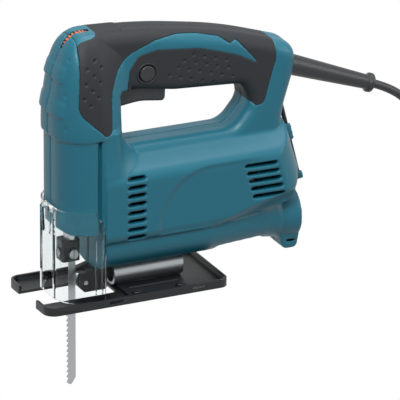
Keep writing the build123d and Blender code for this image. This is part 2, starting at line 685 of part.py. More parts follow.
def commutator():
    """The segmented copper ring that the brushes bear on."""
    front = COMMUTATOR_REAR - COMMUTATOR_LENGTH
    body = ring_x(COMMUTATOR_RADIUS, SHAFT_DIAMETER / 2, front, COMMUTATOR_REAR, z=MOTOR_Z)
    cut = None
    bars = 24
    for i in range(bars):
        slot = Pos(front - 1, 0, MOTOR_Z) * Rot(360 / bars * i, 0, 0) * Pos(0, 0, COMMUTATOR_RADIUS) * Box(
            COMMUTATOR_LENGTH + 2, 0.6, 2.4, align=(Align.MIN, Align.CENTER, Align.CENTER))
        cut = slot if cut is None else cut + slot
    return body - cut


def cooling_fan():
    """The fan behind the gear case: a disc, a hub and straight blades."""
    hub = ring_x(8.0, SHAFT_DIAMETER / 2, FAN_X, FAN_X + FAN_WIDTH, z=MOTOR_Z)
    disc = ring_x(FAN_RADIUS, SHAFT_DIAMETER / 2, FAN_X, FAN_X + 1.8, z=MOTOR_Z)
    fan = hub + disc
    blades = 11
    for i in range(blades):
        fan += Pos(FAN_X, 0, MOTOR_Z) * Rot(360 / blades * i, 0, 0) * Pos(0, 0, 7.0) * Box(
            FAN_WIDTH, 1.6, FAN_RADIUS - 7.6, align=(Align.MIN, Align.CENTER, Align.MIN))
    return fan


def stator_core():
    """The laminated field core with two pole shoes."""
    ring = ring_x(STATOR_RADIUS, STATOR_RADIUS - 4.0, STATOR_FRONT, STATOR_FRONT + STATOR_LENGTH, z=MOTOR_Z)
    poles = block((STATOR_FRONT, STATOR_FRONT + STATOR_LENGTH), (-10.0, 10.0),
                  (MOTOR_Z - STATOR_RADIUS + 2, MOTOR_Z + STATOR_RADIUS - 2))
    bore = rod_x(STATOR_BORE, STATOR_FRONT - 1, STATOR_FRONT + STATOR_LENGTH + 1, z=MOTOR_Z)
    return ring + poles - bore


def field_coils():
    """One wound coil round each pole, standing out at both ends of the core."""
    coils = []
    for s in (-1, 1):
        side_runs = None
        low, high = sorted((MOTOR_Z + s * (STATOR_BORE + 1.0), MOTOR_Z + s * (STATOR_RADIUS - 5.5)))
        outer = block((STATOR_FRONT - 6, STATOR_FRONT + STATOR_LENGTH + 6), (-14.5, 14.5), (low, high))
        inner = block((STATOR_FRONT - 1, STATOR_FRONT + STATOR_LENGTH + 1), (-10.1, 10.1), (low - 1, high + 1))
        coil = outer - inner
        room = rod_x(STATOR_RADIUS - 4.1, STATOR_FRONT - 10, STATOR_FRONT + STATOR_LENGTH + 10, z=MOTOR_Z)
        coils.append(coil & room)
    return coils


def bearing(start, shaft):
    """A ball bearing drawn as its two rings and a shield."""
    return ring_x(BEARING_RADIUS, shaft / 2 + FIT, start, start + BEARING_WIDTH, z=MOTOR_Z)


def brush_holders():
    """Two square-bored brush tubes, closed by a cap on the outside."""
    x = COMMUTATOR_REAR - COMMUTATOR_LENGTH / 2
    tubes = brush_axis_rods(BRUSH_HOLDER, COMMUTATOR_RADIUS + 3.0, BODY_HALF - 6.0)
    room = block((x - 3.1, x + 3.1), (-BODY_HALF + 7.5, BODY_HALF - 7.5), (MOTOR_Z - 4.1, MOTOR_Z + 4.1))
    return list((tubes - room).solids())


def carbon_brushes():
    """Two carbon brushes that bear on the commutator."""
    x = COMMUTATOR_REAR - COMMUTATOR_LENGTH / 2
    brushes = block((x - 3.0, x + 3.0), (-BODY_HALF + 8, BODY_HALF - 8), (MOTOR_Z - 4.0, MOTOR_Z + 4.0))
    brushes -= rod_x(COMMUTATOR_RADIUS + FIT, x - 10, x + 10, z=MOTOR_Z)
    return list(brushes.solids())


# Switch, trigger, lock and dial
def switch_body():
    """The mains switch over the trigger."""
    return block(SWITCH_X, (-8.0, 8.0), (SWITCH_Z, SWITCH_Z + 14))


def speed_controller():
    """The small control board box under the speed dial."""
    return block((17.0, 31.0), (-9.0, 9.0), (163.0 + SEAT, 171.0 - SEAT))


def trigger():
    """The long finger trigger with the stem that works the switch."""
    points = [(TRIGGER_FRONT, 156.0), (TRIGGER_FRONT, 142.0), (52.0, 144.0), (TRIGGER_REAR - 1, 141.0),
              (TRIGGER_REAR, 156.0)]
    bar = slab(smooth_face(points, [1.0, 3.0, 40.0, 3.0, 1.0]), 9.0)
    long_edges = [edge for edge in bar.edges()
                  if abs(abs(edge.center().Y) - 9.0) < 0.01 and edge.center().Z < 149]
    bar = fillet(long_edges, 2.5)
    return bar + block((61.0, 70.0), (-4.0, 4.0), (155.0, SWITCH_Z - TRIGGER_TRAVEL - 0.2))


def lock_button():
    """The round button that holds the trigger in."""
    button = rod_y(BUTTON_RADIUS, -HANDLE_HALF - 1.2, -10.8, x=BUTTON_XZ[0], z=BUTTON_XZ[1])
    face = [edge for edge in button.edges() if edge.center().Y < -HANDLE_HALF]
    return fillet(face, 1.0)


def speed_dial():
    """The thumb wheel in the top of the nose, ribbed round its rim."""
    wheel = rod_y(DIAL_RADIUS, -DIAL_HALF, DIAL_HALF, x=DIAL_XZ[0], z=DIAL_XZ[1])
    pin = rod_y(DIAL_PIN, -DIAL_HALF - 4.5, DIAL_HALF + 4.5, x=DIAL_XZ[0], z=DIAL_XZ[1])
    cut = None
    ribs = 30
    for i in range(ribs):
        groove = Pos(DIAL_XZ[0], 0, DIAL_XZ[1]) * Rot(0, 360 / ribs * i, 0) * Pos(DIAL_RADIUS + 0.5, 0, 0) * Box(
            2.2, 2 * DIAL_HALF + 1, 1.5)
        cut = groove if cut is None else cut + groove
    return wheel - cut + pin


# Plunger, clamp and blade
def plunger_rod():
    """The reciprocating rod with the slotted yoke that the crank works in."""
    rod = rod_z(ROD_DIAMETER / 2, CLAMP_BOTTOM + CLAMP_SIZE[2], ROD_TOP, x=BLADE_X)
    rod += rod_z(ROD_SPIGOT, ROD_BOTTOM, CLAMP_BOTTOM + CLAMP_SIZE[2] + 1, x=BLADE_X)
    half_height = PIN_DIAMETER / 2 + YOKE_WALL + FIT
    yoke = block((-3.0, YOKE_REAR), (-YOKE_HALF, YOKE_HALF), (GEAR_Z - half_height, GEAR_Z + half_height))
    slot = block((ROD_DIAMETER / 2 + 0.8, YOKE_REAR + 1), (-YOKE_HALF + 2, YOKE_HALF - 2),
                 (GEAR_Z - PIN_DIAMETER / 2 - FIT, GEAR_Z + PIN_DIAMETER / 2 + FIT))
    return rod + yoke - slot


def blade_clamp():
    """The block on the end of the plunger, slit for the blade."""
    dx, dy, dz = CLAMP_SIZE
    block_form = block((-dx / 2 - 2, dx / 2 - 2), (-dy / 2, dy / 2), (CLAMP_BOTTOM, CLAMP_BOTTOM + dz))
    block_form = fillet(block_form.edges().filter_by(Axis.Z), 2.0)
    socket = rod_z(ROD_SPIGOT, ROD_BOTTOM, CLAMP_BOTTOM + dz + 1, x=BLADE_X)
    wide = BLADE_WIDTH / 2 + FIT
    thick = BLADE_THICKNESS / 2 + FIT
    slit = block((-wide, wide), (-thick, thick),
                 (CLAMP_BOTTOM - 1, BLADE_TOP + FIT))
    side_screw = rod_y(2.5, -dy / 2 - 1, -BLADE_THICKNESS / 2 - FIT, x=-1.0, z=CLAMP_BOTTOM + 6)
    front_screw = rod_x(2.0, -dx / 2 - 3, -BLADE_WIDTH / 2 - FIT, z=CLAMP_BOTTOM + 6)
    return block_form - socket - slit - side_screw - front_screw


def clamp_screws():
    """The side and front screws that hold the blade."""
    dx, dy, dz = CLAMP_SIZE
    z = CLAMP_BOTTOM + 6
    inner = BLADE_THICKNESS / 2 + FIT
    side_screw = rod_y(2.5, -dy / 2, -inner, x=-1.0, z=z) + rod_y(3.6, -dy / 2 - 2.2, -dy / 2, x=-1.0, z=z)
    side_screw -= block((-1.5, -0.5), (-dy / 2 - 3, -dy / 2 - 1.2), (z - 4, z + 4))
    front = -dx / 2 - 2
    front_screw = rod_x(2.0, front, -BLADE_WIDTH / 2 - FIT, z=z) + rod_x(3.2, front - 1.8, front, z=z)
    front_screw -= block((front - 3, front - 0.9), (-0.5, 0.5), (z - 4, z + 4))
    return [side_screw, front_screw]


def saw_blade():
    """The wood blade with its teeth to the front, pointed at the tip."""
    half = BLADE_WIDTH / 2
    points = [(-half + TOOTH_DEPTH, BLADE_TOP), (half, BLADE_TOP), (half, BLADE_TIP_Z + 5),
              (half - 3.2, BLADE_TIP_Z)]
    start = BLADE_TIP_Z
    points.append((-half + TOOTH_DEPTH, start))
    for i in range(TOOTH_COUNT):
        z = start + 1.0 + i * TOOTH_PITCH
        points.append((-half, z + 0.6))
        points.append((-half + TOOTH_DEPTH, z + TOOTH_PITCH - 0.6))
    return slab(Polygon(*points, align=None), BLADE_THICKNESS / 2)


# Roller guide
def blade_retainer():
    """The fork under the body that carries the guide roller."""
    points = [(ROLLER_X - 4.5, 17.0), (ROLLER_X - 4.5, 6.5), (ROLLER_X - 1, 3.0), (25.0, 3.0), (25.0, 20.6),
              (17.0, 20.6)]
    form = slab(smooth_face(points, [2.5, 2.0, 2.0, 2.0, 1.0, 2.0]), 8.5)
    room = block((-20.0, ROLLER_X + ROLLER_RADIUS + 1.2), (-ROLLER_HALF - 0.5, ROLLER_HALF + 0.5), (-5, 30))
    window = rod_y(2.6, -20, 20, x=21.5, z=8.0)
    hole = rod_y(ROLLER_PIN, -9.0, 9.0, x=ROLLER_X, z=ROLLER_Z)
    return form - room - window - hole


def roller_pin():
    """The pin that the guide roller turns on."""
    return rod_y(ROLLER_PIN, -8.8, 8.8, x=ROLLER_X, z=ROLLER_Z)


def guide_roller():
    """The grooved roller that backs up the blade."""
    roller = rod_y(ROLLER_RADIUS, -ROLLER_HALF, ROLLER_HALF, x=ROLLER_X, z=ROLLER_Z)
    slot = BLADE_THICKNESS / 2 + 0.25
    groove = rod_y(ROLLER_RADIUS + 1, -slot, slot, x=ROLLER_X, z=ROLLER_Z)
    groove -= rod_y(ROLLER_GROOVE, -5, 5, x=ROLLER_X, z=ROLLER_Z)
    bore = rod_y(ROLLER_PIN + FIT, -10, 10, x=ROLLER_X, z=ROLLER_Z)
    return roller - groove - bore


# Chip guard
def guard_plan(grow):
    """The column outline grown outwards, open to the rear."""
    return smooth_face(
        [(COLUMN_FRONT - grow, -COLUMN_HALF - grow), (30.0, -COLUMN_HALF - grow), (30.0, COLUMN_HALF + grow),
         (COLUMN_FRONT - grow, COLUMN_HALF + grow)],
        [COLUMN_CORNER + grow, 0.5, 0.5, COLUMN_CORNER + grow])


def chip_guard():
    """The clear guard that wraps the column and slides up and down on it."""
    wall = extrude(Pos(0, 0, GUARD_BOTTOM) * (guard_plan(RUN + GUARD_WALL) - guard_plan(RUN)),
                   amount=GUARD_TOP - GUARD_BOTTOM)
    rear = BODY_FRONT - 0.5
    flank = slab(smooth_face(
        [(-40.0, GUARD_BOTTOM - 5), (-40.0, GUARD_TOP + 5), (rear - 7, GUARD_TOP + 5), (rear - 7, GUARD_TOP - 3),
         (rear, GUARD_TOP - 10), (rear, GUARD_BOTTOM - 5)],
        [1.0, 1.0, 1.0, 4.0, 4.0, 1.0]), 60)
    shell = wall & flank
    lips = None
    for s in (-1, 1):
        ends = sorted((s * (COLUMN_HALF - GROOVE_DEPTH + 0.4), s * (COLUMN_HALF + RUN + 0.5)))
        lip = block((GUARD_GROOVE[0] + 0.3, GUARD_GROOVE[1] - 0.3), ends, (57.0, 65.0))
        lips = lip if lips is None else lips + lip
    frame = finger_frame()
    return shell + lips + frame


def finger_frame():
    """The raised frame and ribs on the front of the guard that a thumb pushes on."""
    outer = extrude(Plane.YZ * Polygon((-9.0, 71.0), (9.0, 71.0), (6.5, 50.0), (-6.5, 50.0), align=None), amount=40,
                    dir=(-1, 0, 0))
    inner = extrude(Plane.YZ * Polygon((-7.2, 69.2), (7.2, 69.2), (5.0, 51.8), (-5.0, 51.8), align=None), amount=40,
                    dir=(-1, 0, 0))
    front = COLUMN_FRONT - RUN - GUARD_WALL
    rim = (outer - inner) & block((front - 1.4, front + 0.6), (-20, 20), (0, 100))
    ribs = None
    for y in (-11.0, 11.0):
        rib = block((front - 1.0, front + 1.4), (y - 0.7, y + 0.7), (GUARD_BOTTOM + 1, 69.0))
        ribs = rib if ribs is None else ribs + rib
    return rim + ribs


# Base
def base_plan(inset=0.0):
    """The sole seen from above, with round corners and the blade notch."""
    outer = smooth_face(
        [(BASE_FRONT + inset, -BASE_HALF + inset), (BASE_REAR - inset, -BASE_HALF + inset),
         (BASE_REAR - inset, BASE_HALF - inset), (BASE_FRONT + inset, BASE_HALF - inset)],
        [9.0 - inset, 7.0 - inset, 7.0 - inset, 9.0 - inset])
    half = NOTCH_HALF + inset
    notch = smooth_face([(BASE_FRONT - 20, -half), (NOTCH_REAR + inset, -half), (NOTCH_REAR + inset, half),
                         (BASE_FRONT - 20, half)], [1.0, 4.0, 4.0, 1.0])
    return outer - notch


def base_plate():
    """The pressed steel sole: a flat sheet with an upturned rim, a blade notch and fence slots."""
    tray = extrude(Plane.XY * base_plan(), amount=RIM_HEIGHT)
    hollow = smooth_face(
        [(BASE_FRONT + SHEET, -BASE_HALF + SHEET), (BASE_REAR - SHEET, -BASE_HALF + SHEET),
         (BASE_REAR - SHEET, BASE_HALF - SHEET), (BASE_FRONT + SHEET, BASE_HALF - SHEET)], [7.0, 5.0, 5.0, 7.0])
    tray -= extrude(Pos(0, 0, SHEET) * hollow, amount=20)
    bolt_way = block((BOLT_X - 14, BOLT_X + 14), (-6.0, 6.0), (-1, SHEET + 1))
    slots = None
    for x in (FENCE_SLOT_X, FENCE_SLOT_X + 66):
        slot = block((x - FENCE_SLOT[0] / 2, x + FENCE_SLOT[0] / 2), (-60, 60), (SHEET, SHEET + FENCE_SLOT[1]))
        slots = slot if slots is None else slots + slot
    keep = block((-100, 200), (-BASE_HALF + SHEET + 0.01, BASE_HALF - SHEET - 0.01), (-1, 20))
    holes = None
    for x, y in rivet_places():
        hole = rod_z(RIVET_RADIUS, -1, SHEET + 1, x=x, y=y)
        holes = hole if holes is None else holes + hole
    return tray - bolt_way - (slots - keep) - holes


def rivet_places():
    """The four rivets of the barrel's wings, as (x, y)."""
    return [(x, y) for x in (41.0, 76.0) for y in (-25.0, 25.0)]


def bevel_barrel():
    """The pressed barrel that the housing rocks on, with its two wings riveted to the sole."""
    tube = rod_x(BARREL_RADIUS, BARREL_FRONT, BARREL_REAR, z=PIVOT_Z)
    bore = rod_x(BARREL_BORE, BARREL_FRONT - 1, BARREL_REAR + 1, z=PIVOT_Z)
    wings = extrude(Pos((BARREL_FRONT + BARREL_REAR) / 2, 0, SHEET) * RectangleRounded(50.0, 62.0, 3.0),
                    amount=FLANGE_SHEET)
    beads = None
    for y in (-16.0, 16.0):
        bead = rod_x(1.2, BARREL_FRONT + 8, BARREL_REAR - 8, y=y, z=SHEET + FLANGE_SHEET)
        beads = bead if beads is None else beads + bead
    beads &= block((0, 200), (-60, 60), (SHEET + 0.4, 20))
    reach = BARREL_RADIUS + 3
    slot = None
    for angle in (0, 15, 30, 45):
        way = Pos(BOLT_X, 0, PIVOT_Z) * Rot(-angle, 0, 0) * Box(
            2 * BOLT_RADIUS + 1.0, 2 * BOLT_RADIUS + 1.6, reach, align=(Align.CENTER, Align.CENTER, Align.MIN))
        slot = way if slot is None else slot + way
    access = block((BOLT_X - 6, BOLT_X + 6), (-5.0, 5.0), (0, PIVOT_Z - 2))
    holes = None
    for x, y in rivet_places():
        hole = rod_z(RIVET_RADIUS, 0, 10, x=x, y=y)
        holes = hole if holes is None else holes + hole
    return tube + wings + beads - bore - slot - access - holes


def base_rivets():
    """Four rivets through the wings and the sole."""
    top = SHEET + FLANGE_SHEET
    group = []
    for x, y in rivet_places():
        head = rod_z(RIVET_RADIUS + 1.6, top, top + 1.3, x=x, y=y)
        head = fillet(head.edges().filter_by(GeomType.CIRCLE).sort_by(Axis.Z)[-1:], 0.9)
        group.append(head + rod_z(RIVET_RADIUS, 0.2, top, x=x, y=y))
    return group


def base_clamp_bolt():
    """The bolt that draws the barrel up against the saddle."""
    shank = rod_z(BOLT_RADIUS, PIVOT_Z + 1, BOLT_TOP, x=BOLT_X)
    bolt = shank + rod_z(BOLT_HEAD, PIVOT_Z - 3, PIVOT_Z + 2.5, x=BOLT_X)
    socket = Pos(BOLT_X, 0, PIVOT_Z - 4) * extrude(RegularPolygon(1.8, 6), amount=4)
    return bolt - socket


def base_clamp_nut():
    """The square nut kept in a pocket of the keel."""
    nut = block((BOLT_X - 6, BOLT_X + 6), (-6, 6), (BOLT_TOP - 4, BOLT_TOP))
    return nut - rod_z(BOLT_RADIUS, 0, 100, x=BOLT_X)


def hex_wrench():
    """The bent hex key in its clips on the rear face."""
    low, high = WRENCH_LOW, WRENCH_HIGH
    lean = atan2(high[0] - low[0], high[1] - low[1])
    length = sqrt((high[0] - low[0]) ** 2 + (high[1] - low[1]) ** 2)
    leg = extrude(RegularPolygon(WRENCH_SIZE / 2 / cos(pi / 6), 6), amount=length)
    return Pos(low[0], 0, low[1]) * Rot(0, degrees(lean), 0) * leg


# Cord
def cord_guard():
    """The moulded sleeve that keeps the cord from kinking, with rings cut into its outer half."""
    axis = guard_axis()
    profile = Polygon(
        (CORD_DIAMETER / 2 + FIT, -SLEEVE_INSIDE), (SLEEVE_RADIUS + 3, -SLEEVE_INSIDE),
        (SLEEVE_RADIUS + 3, -SLEEVE_INSIDE + 4), (SLEEVE_RADIUS, -SLEEVE_INSIDE + 4), (SLEEVE_RADIUS, 2.0),
        (5.4, GUARD_LENGTH - 4), (7.2, GUARD_LENGTH - 3), (7.2, GUARD_LENGTH - 0.6), (6.6, GUARD_LENGTH),
        (CORD_DIAMETER / 2 + FIT, GUARD_LENGTH), align=None)
    sleeve = revolve(Plane.XZ * profile, Axis.Z)
    return axis * sleeve


def cord_clamp_box(grow=0.0):
    """The clamp bar over the cord just inside the shell."""
    axis = guard_axis()
    bar = Pos(0, 0, -SLEEVE_INSIDE - 8) * Box(22 + 2 * grow, 9 + 2 * grow, 7 + 2 * grow)
    return axis * bar


def cord_clamp():
    """A plastic bar that grips the cord, bored for the cord and two screws."""
    axis = guard_axis()
    bar = cord_clamp_box()
    bore = axis * (Pos(0, 0, -SLEEVE_INSIDE - 20) * Cylinder(CORD_DIAMETER / 2 + FIT, 40))
    screws = None
    for y in (-7.5, 7.5):
        hole = axis * (Pos(y, 0, -SLEEVE_INSIDE - 8) * Rot(90, 0, 0) * Cylinder(1.5, 30))
        screws = hole if screws is None else screws + hole
    return bar - bore - screws


def cord_clamp_screws():
    """The two screws of the cord clamp."""
    axis = guard_axis()
    return [axis * (Pos(y, 0, -SLEEVE_INSIDE - 8) * Rot(90, 0, 0) * Cylinder(1.5, 8.6)) for y in (-7.5, 7.5)]


def inner_lead():
    """The end of the cord inside the guard and the shell."""
    axis = guard_axis()
    return axis * (Pos(0, 0, -LEAD_INSIDE) * Cylinder(
        CORD_DIAMETER / 2, LEAD_INSIDE + GUARD_LENGTH, align=(Align.CENTER, Align.CENTER, Align.MIN)))


def cord_points():
    """The free stretch, from the end of the guard down to the outer turn of the coil."""
    a = radians(GUARD_ANGLE)
    out = Vector(cos(a), 0, -sin(a))
    start = Vector(*GUARD_ROOT) + out * GUARD_LENGTH
    end = Vector(COIL_CENTRE[0], COIL_CENTRE[1] - COIL_OUTER, COIL_LOW_Z)
    return [start, start + out * 14, Vector(271, -1, 106.5), Vector(279.5, -7, 87), Vector(277, -17, 61),
            Vector(269, -30, 32), Vector(264, -40, -1), Vector(264, -46, -33), end - Vector(41, 0, 0), end]


def tube(path):
    """The round cord along a path."""
    return sweep(Plane(origin=path @ 0, z_dir=path % 0) * Circle(CORD_DIAMETER / 2), path=path)


def turn_radii(points, share=0.45):
    """The largest arcs that leave a share of each run straight."""
    radii = []
    for before, here, after in zip(points, points[1:], points[2:]):
        a = here - before
        b = after - here
        turn = radians(a.get_angle(b))
        radii.append(share * min(a.length, b.length) / tan(turn / 2))
    return radii


def coil_crossings():
    """Where each half turn of the coil meets the line across its middle, as (y offset, z). A layer runs in or out
    by half a pitch per half turn, and the half turn after a climb steps a whole pitch, clear of the climb."""
    crossings = []
    reach = COIL_OUTER
    inward = COIL_PITCH / 2
    side_sign = -1
    for layer in range(COIL_LAYERS):
        for k in range(COIL_HALF_TURNS + 1):
            crossings.append((side_sign * reach, COIL_LOW_Z + layer * COIL_PITCH))
            reach -= 2 * inward if layer and k == 0 else inward
            side_sign = -side_sign
        inward = -inward
    crossings.append((side_sign * reach, PLUG_Z))
    return crossings


def coil_path():
    """Half turns joined end to end; a half turn between layers is two slanted arcs. The tail turns back over the
    top layer to the plug."""
    edges = []
    crossings = coil_crossings()
    heading = 1
    for (y0, z0), (y1, z1) in zip(crossings, crossings[1:]):
        a = Vector(COIL_CENTRE[0], COIL_CENTRE[1] + y0, z0)
        b = Vector(COIL_CENTRE[0], COIL_CENTRE[1] + y1, z1)
        if z0 == z1:
            middle = (a + b) * 0.5 + Vector(heading * (b - a).length / 2, 0, 0)
            edges.append(ThreePointArc(a, middle, b))
        else:
            edges += biarc(a, Vector(heading, 0, 0), b, Vector(-heading, 0, 0))
        heading = -heading
    last = b
    turn = last + Vector(TAIL_RUN, 0, 0)
    back = Vector(turn.X, COIL_CENTRE[1] + PLUG_Y, PLUG_Z)
    half = (back.Y - turn.Y) / 2
    edges.append(Line(last, turn))
    edges.append(ThreePointArc(turn, turn + Vector(half, half, 0), back))
    edges.append(Line(back, coil_end()))
    return Wire(edges)


def biarc(a, ta, b, tb):
    """Two arcs from a to b that leave along ta, arrive along tb and meet smoothly."""
    v = b - a
    t = ta + tb
    lead = v.dot(t)
    spread = 2 * (1 - ta.dot(tb))
    d = (-lead + sqrt(lead * lead + spread * v.dot(v))) / spread
    joint = (a + ta * d + b - tb * d) * 0.5
    return [Edge.make_tangent_arc(a, ta, joint), Edge.make_tangent_arc(joint, b - tb * d - joint, b)]


def least_gap(path, step=4.0):
    """The least clear gap between turns of the cord, from points along its path that are not close neighbours."""
    count = int(path.length / step)
    points = [tuple(path @ (i / count)) for i in range(count + 1)]
    apart = int(6 * CORD_DIAMETER / step)
    nearest = min(sum((a - b) ** 2 for a, b in zip(points[i], points[j]))
                  for i in range(count + 1) for j in range(i + apart, count + 1))
    return sqrt(nearest) - CORD_DIAMETER


def cord_coil():
    """The put-away length of the cord, one unbroken tube in flat layers."""
    path = coil_path()
    coil = tube(path)
    section = pi * CORD_DIAMETER ** 2 / 4
    print("coil length", round(path.length, 1), "least gap", round(least_gap(path), 2))
    print("coil volume over section times length", round(coil.volume / (section * path.length), 4))
    return coil


def power_cord():
    """The free stretch of cord that hangs from the guard."""
    points = cord_points()
    radii = turn_radii(points)
    print("cord bend radii", [round(r, 1) for r in radii])
    path = FilletPolyline(*points, radius=radii)
    print("free cord length", round(path.length, 1))
    return tube(path)


def coil_end():
    """The point where the tail of the coil enters the plug."""
    return Vector(COIL_CENTRE[0] + TAIL_RUN - CORD_DIAMETER, COIL_CENTRE[1] + PLUG_Y, PLUG_Z)


def cord_tie():
    """The strap that holds the turns together at one place."""
    reaches = [y for y, z in coil_crossings() if y > 0]
    inner_reach = min(reaches) - CORD_DIAMETER / 2 - 0.4
    outer_reach = max(reaches) + CORD_DIAMETER / 2 + 0.4
    low = COIL_LOW_Z - CORD_DIAMETER / 2 - 0.2
    high = COIL_LOW_Z + (COIL_LAYERS - 1) * COIL_PITCH + CORD_DIAMETER / 2 + 1.2
    x, y = COIL_CENTRE
    outer = block((x - 4, x + 4), (y + inner_reach - TIE, y + outer_reach + TIE), (low - TIE, high + TIE))
    inner = block((x - 5, x + 5), (y + inner_reach, y + outer_reach), (low, high))
    return fillet((outer - inner).edges().filter_by(Axis.X), 0.3)


def plug_body():
    """The two-pole plug lying on the coil."""
    end = coil_end()
    sections = []
    outline = ((0.0, 11.0, 10.0), (10.0, 14.0, 12.5), (27.0, 30.0, 13.0), (PLUG_LENGTH, 34.0, 13.5))
    for along, width, tall in outline:
        plane = Plane(origin=(end.X - along, end.Y, end.Z), x_dir=(0, 1, 0), z_dir=(-1, 0, 0))
        sections.append(plane * RectangleRounded(width, tall, tall * 0.42))
    return loft(sections)


def plug_pins():
    """The two round pins of the plug."""
    end = coil_end()
    face = end.X - PLUG_LENGTH
    return [rod_x(2.4, face - 19.0, face, y=end.Y + y, z=end.Z) for y in (-9.5, 9.5)]


def main():
    os.makedirs("parts", exist_ok=True)
    left, right, grip_left, grip_right = housing()
    nodes = {
        "housing_left": left,
        "housing_right": right,
        "grip_left": grip_left,
        "grip_right": grip_right,
        "housing_screws": housing_screws(),
        "gear_case": gear_case(),
        "plunger_bushes": plunger_bushes(),
        "drive_gear": drive_gear(),
        "gear_shaft": gear_shaft(),
        "armature_shaft": armature_shaft(),
        "armature_core": armature_core(),
        "armature_windings": armature_windings(),
        "commutator": commutator(),
        "cooling_fan": cooling_fan(),
        "stator_core": stator_core(),
        "field_coils": field_coils(),
        "front_bearing": bearing(CASE_REAR - BEARING_WIDTH, SHAFT_DIAMETER),
        "rear_bearing": bearing(REAR_BEARING_X, SHAFT_DIAMETER),
        "brush_holders": brush_holders(),
        "carbon_brushes": carbon_brushes(),
        "switch_body": switch_body(),
        "speed_controller": speed_controller(),
        "trigger": trigger(),
        "lock_button": lock_button(),
        "speed_dial": speed_dial(),
        "plunger_rod": plunger_rod(),
        "blade_clamp": blade_clamp(),
        "clamp_screws": clamp_screws(),
        "saw_blade": saw_blade(),
        "blade_retainer": blade_retainer(),
        "roller_pin": roller_pin(),
        "guide_roller": guide_roller(),
        "chip_guard": chip_guard(),
        "base_plate": base_plate(),
        "bevel_barrel": bevel_barrel(),
        "base_rivets": base_rivets(),
        "base_clamp_bolt": base_clamp_bolt(),
        "base_clamp_nut": base_clamp_nut(),
        "hex_wrench": hex_wrench(),
        "cord_guard": cord_guard(),
        "cord_clamp": cord_clamp(),
        "cord_clamp_screws": cord_clamp_screws(),
        "inner_lead": inner_lead(),
        "power_cord": power_cord(),
        "cord_coil": cord_coil(),
        "cord_tie": cord_tie(),
        "plug_body": plug_body(),
        "plug_pins": plug_pins(),
    }
    for name, shape in nodes.items():
        if isinstance(shape, list):
            shape = Compound(children=[s for part in shape for s in part.solids()])
        export_step(shape, f"parts/{name}.step")


main()
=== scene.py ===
import json
from math import cos, pi, radians, sin

import bmesh
import bpy
import numpy as np
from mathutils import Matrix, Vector


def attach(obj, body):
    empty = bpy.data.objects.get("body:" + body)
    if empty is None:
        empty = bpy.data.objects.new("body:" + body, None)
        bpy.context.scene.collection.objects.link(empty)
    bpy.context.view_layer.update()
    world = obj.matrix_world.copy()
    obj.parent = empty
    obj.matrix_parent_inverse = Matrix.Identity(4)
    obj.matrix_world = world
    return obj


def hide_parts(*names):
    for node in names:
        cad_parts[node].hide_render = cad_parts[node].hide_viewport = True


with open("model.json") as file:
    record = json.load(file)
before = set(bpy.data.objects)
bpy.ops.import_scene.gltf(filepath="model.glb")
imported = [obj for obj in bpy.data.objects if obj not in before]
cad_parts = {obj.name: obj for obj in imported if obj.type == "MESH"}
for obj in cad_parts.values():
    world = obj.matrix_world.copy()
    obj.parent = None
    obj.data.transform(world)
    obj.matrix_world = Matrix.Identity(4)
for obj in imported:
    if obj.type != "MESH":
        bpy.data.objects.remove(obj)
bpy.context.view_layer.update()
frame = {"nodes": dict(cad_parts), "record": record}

# Camera: it stands to the tool's left front and above, far off behind a long lens, so that upright edges
# stay parallel. This is the photograph's angle.
AIM = Vector((0.1034, 0.0, 0.0557))
AZIMUTH = radians(-25.0)
ELEVATION = radians(21.7)
DISTANCE = 8.72
LENS_MM = 1080.0
SENSOR_MM = 36.0
FAR_CLIP = 50.0
camera_data = bpy.data.cameras.new("camera")
camera_data.lens = LENS_MM
camera_data.sensor_width = SENSOR_MM
camera_data.clip_end = FAR_CLIP
camera = bpy.data.objects.new("camera", camera_data)
bpy.context.scene.collection.objects.link(camera)
view = Vector((sin(AZIMUTH) * cos(ELEVATION), -cos(AZIMUTH) * cos(ELEVATION), sin(ELEVATION)))
camera.location = AIM + view * DISTANCE
camera.rotation_euler = (-view).to_track_quat("-Z", "Y").to_euler()
bpy.context.scene.camera = camera
bpy.context.scene.view_settings.view_transform = "Standard"

# Floor: one plain sheet of card at the level of the blade's tip. It is white to the camera, in reflections
# and through the clear guard, and its own colour is a mid grey, so that it throws little light at the tool.
FLOOR_Z = -0.071
FLOOR_HALF = 6.0
WHITE = (1, 1, 1, 1)


def linear(hex_colour):
    """An sRGB hex colour as the linear colour that a shader takes."""
    channels = [int(hex_colour[i:i + 2], 16) / 255 for i in (1, 3, 5)]
    return [c / 12.92 if c <= 0.04045 else ((c + 0.055) / 1.055) ** 2.4 for c in channels] + [1.0]


def add(tree, kind, inputs, **settings):
    """Add a shader node with its settings, and its inputs by name or number, where a socket makes a link."""
    node = tree.nodes.new("ShaderNode" + kind)
    for name, value in settings.items():
        setattr(node, name, value)
    for key, value in inputs.items():
        if isinstance(value, bpy.types.NodeSocket):
            tree.links.new(value, node.inputs[key])
        else:
            node.inputs[key].default_value = value
    return node


def white_when_seen(tree, lit, white, end):
    """Show the white shader to the rays of the camera, of reflections and through clear plastic, and the
    lit shader to all others: the largest of the three kinds of ray, as 0 or 1, mixes the two."""
    path = add(tree, "LightPath", {})
    seen = path.outputs["Is Camera Ray"]
    for kind in ("Is Glossy Ray", "Is Transmission Ray"):
        seen = add(tree, "Math", {0: seen, 1: path.outputs[kind]}, operation="MAXIMUM").outputs["Value"]
    mix = add(tree, "MixShader", {0: seen, 1: lit, 2: white})
    tree.links.new(mix.outputs["Shader"], tree.nodes[end].inputs["Surface"])


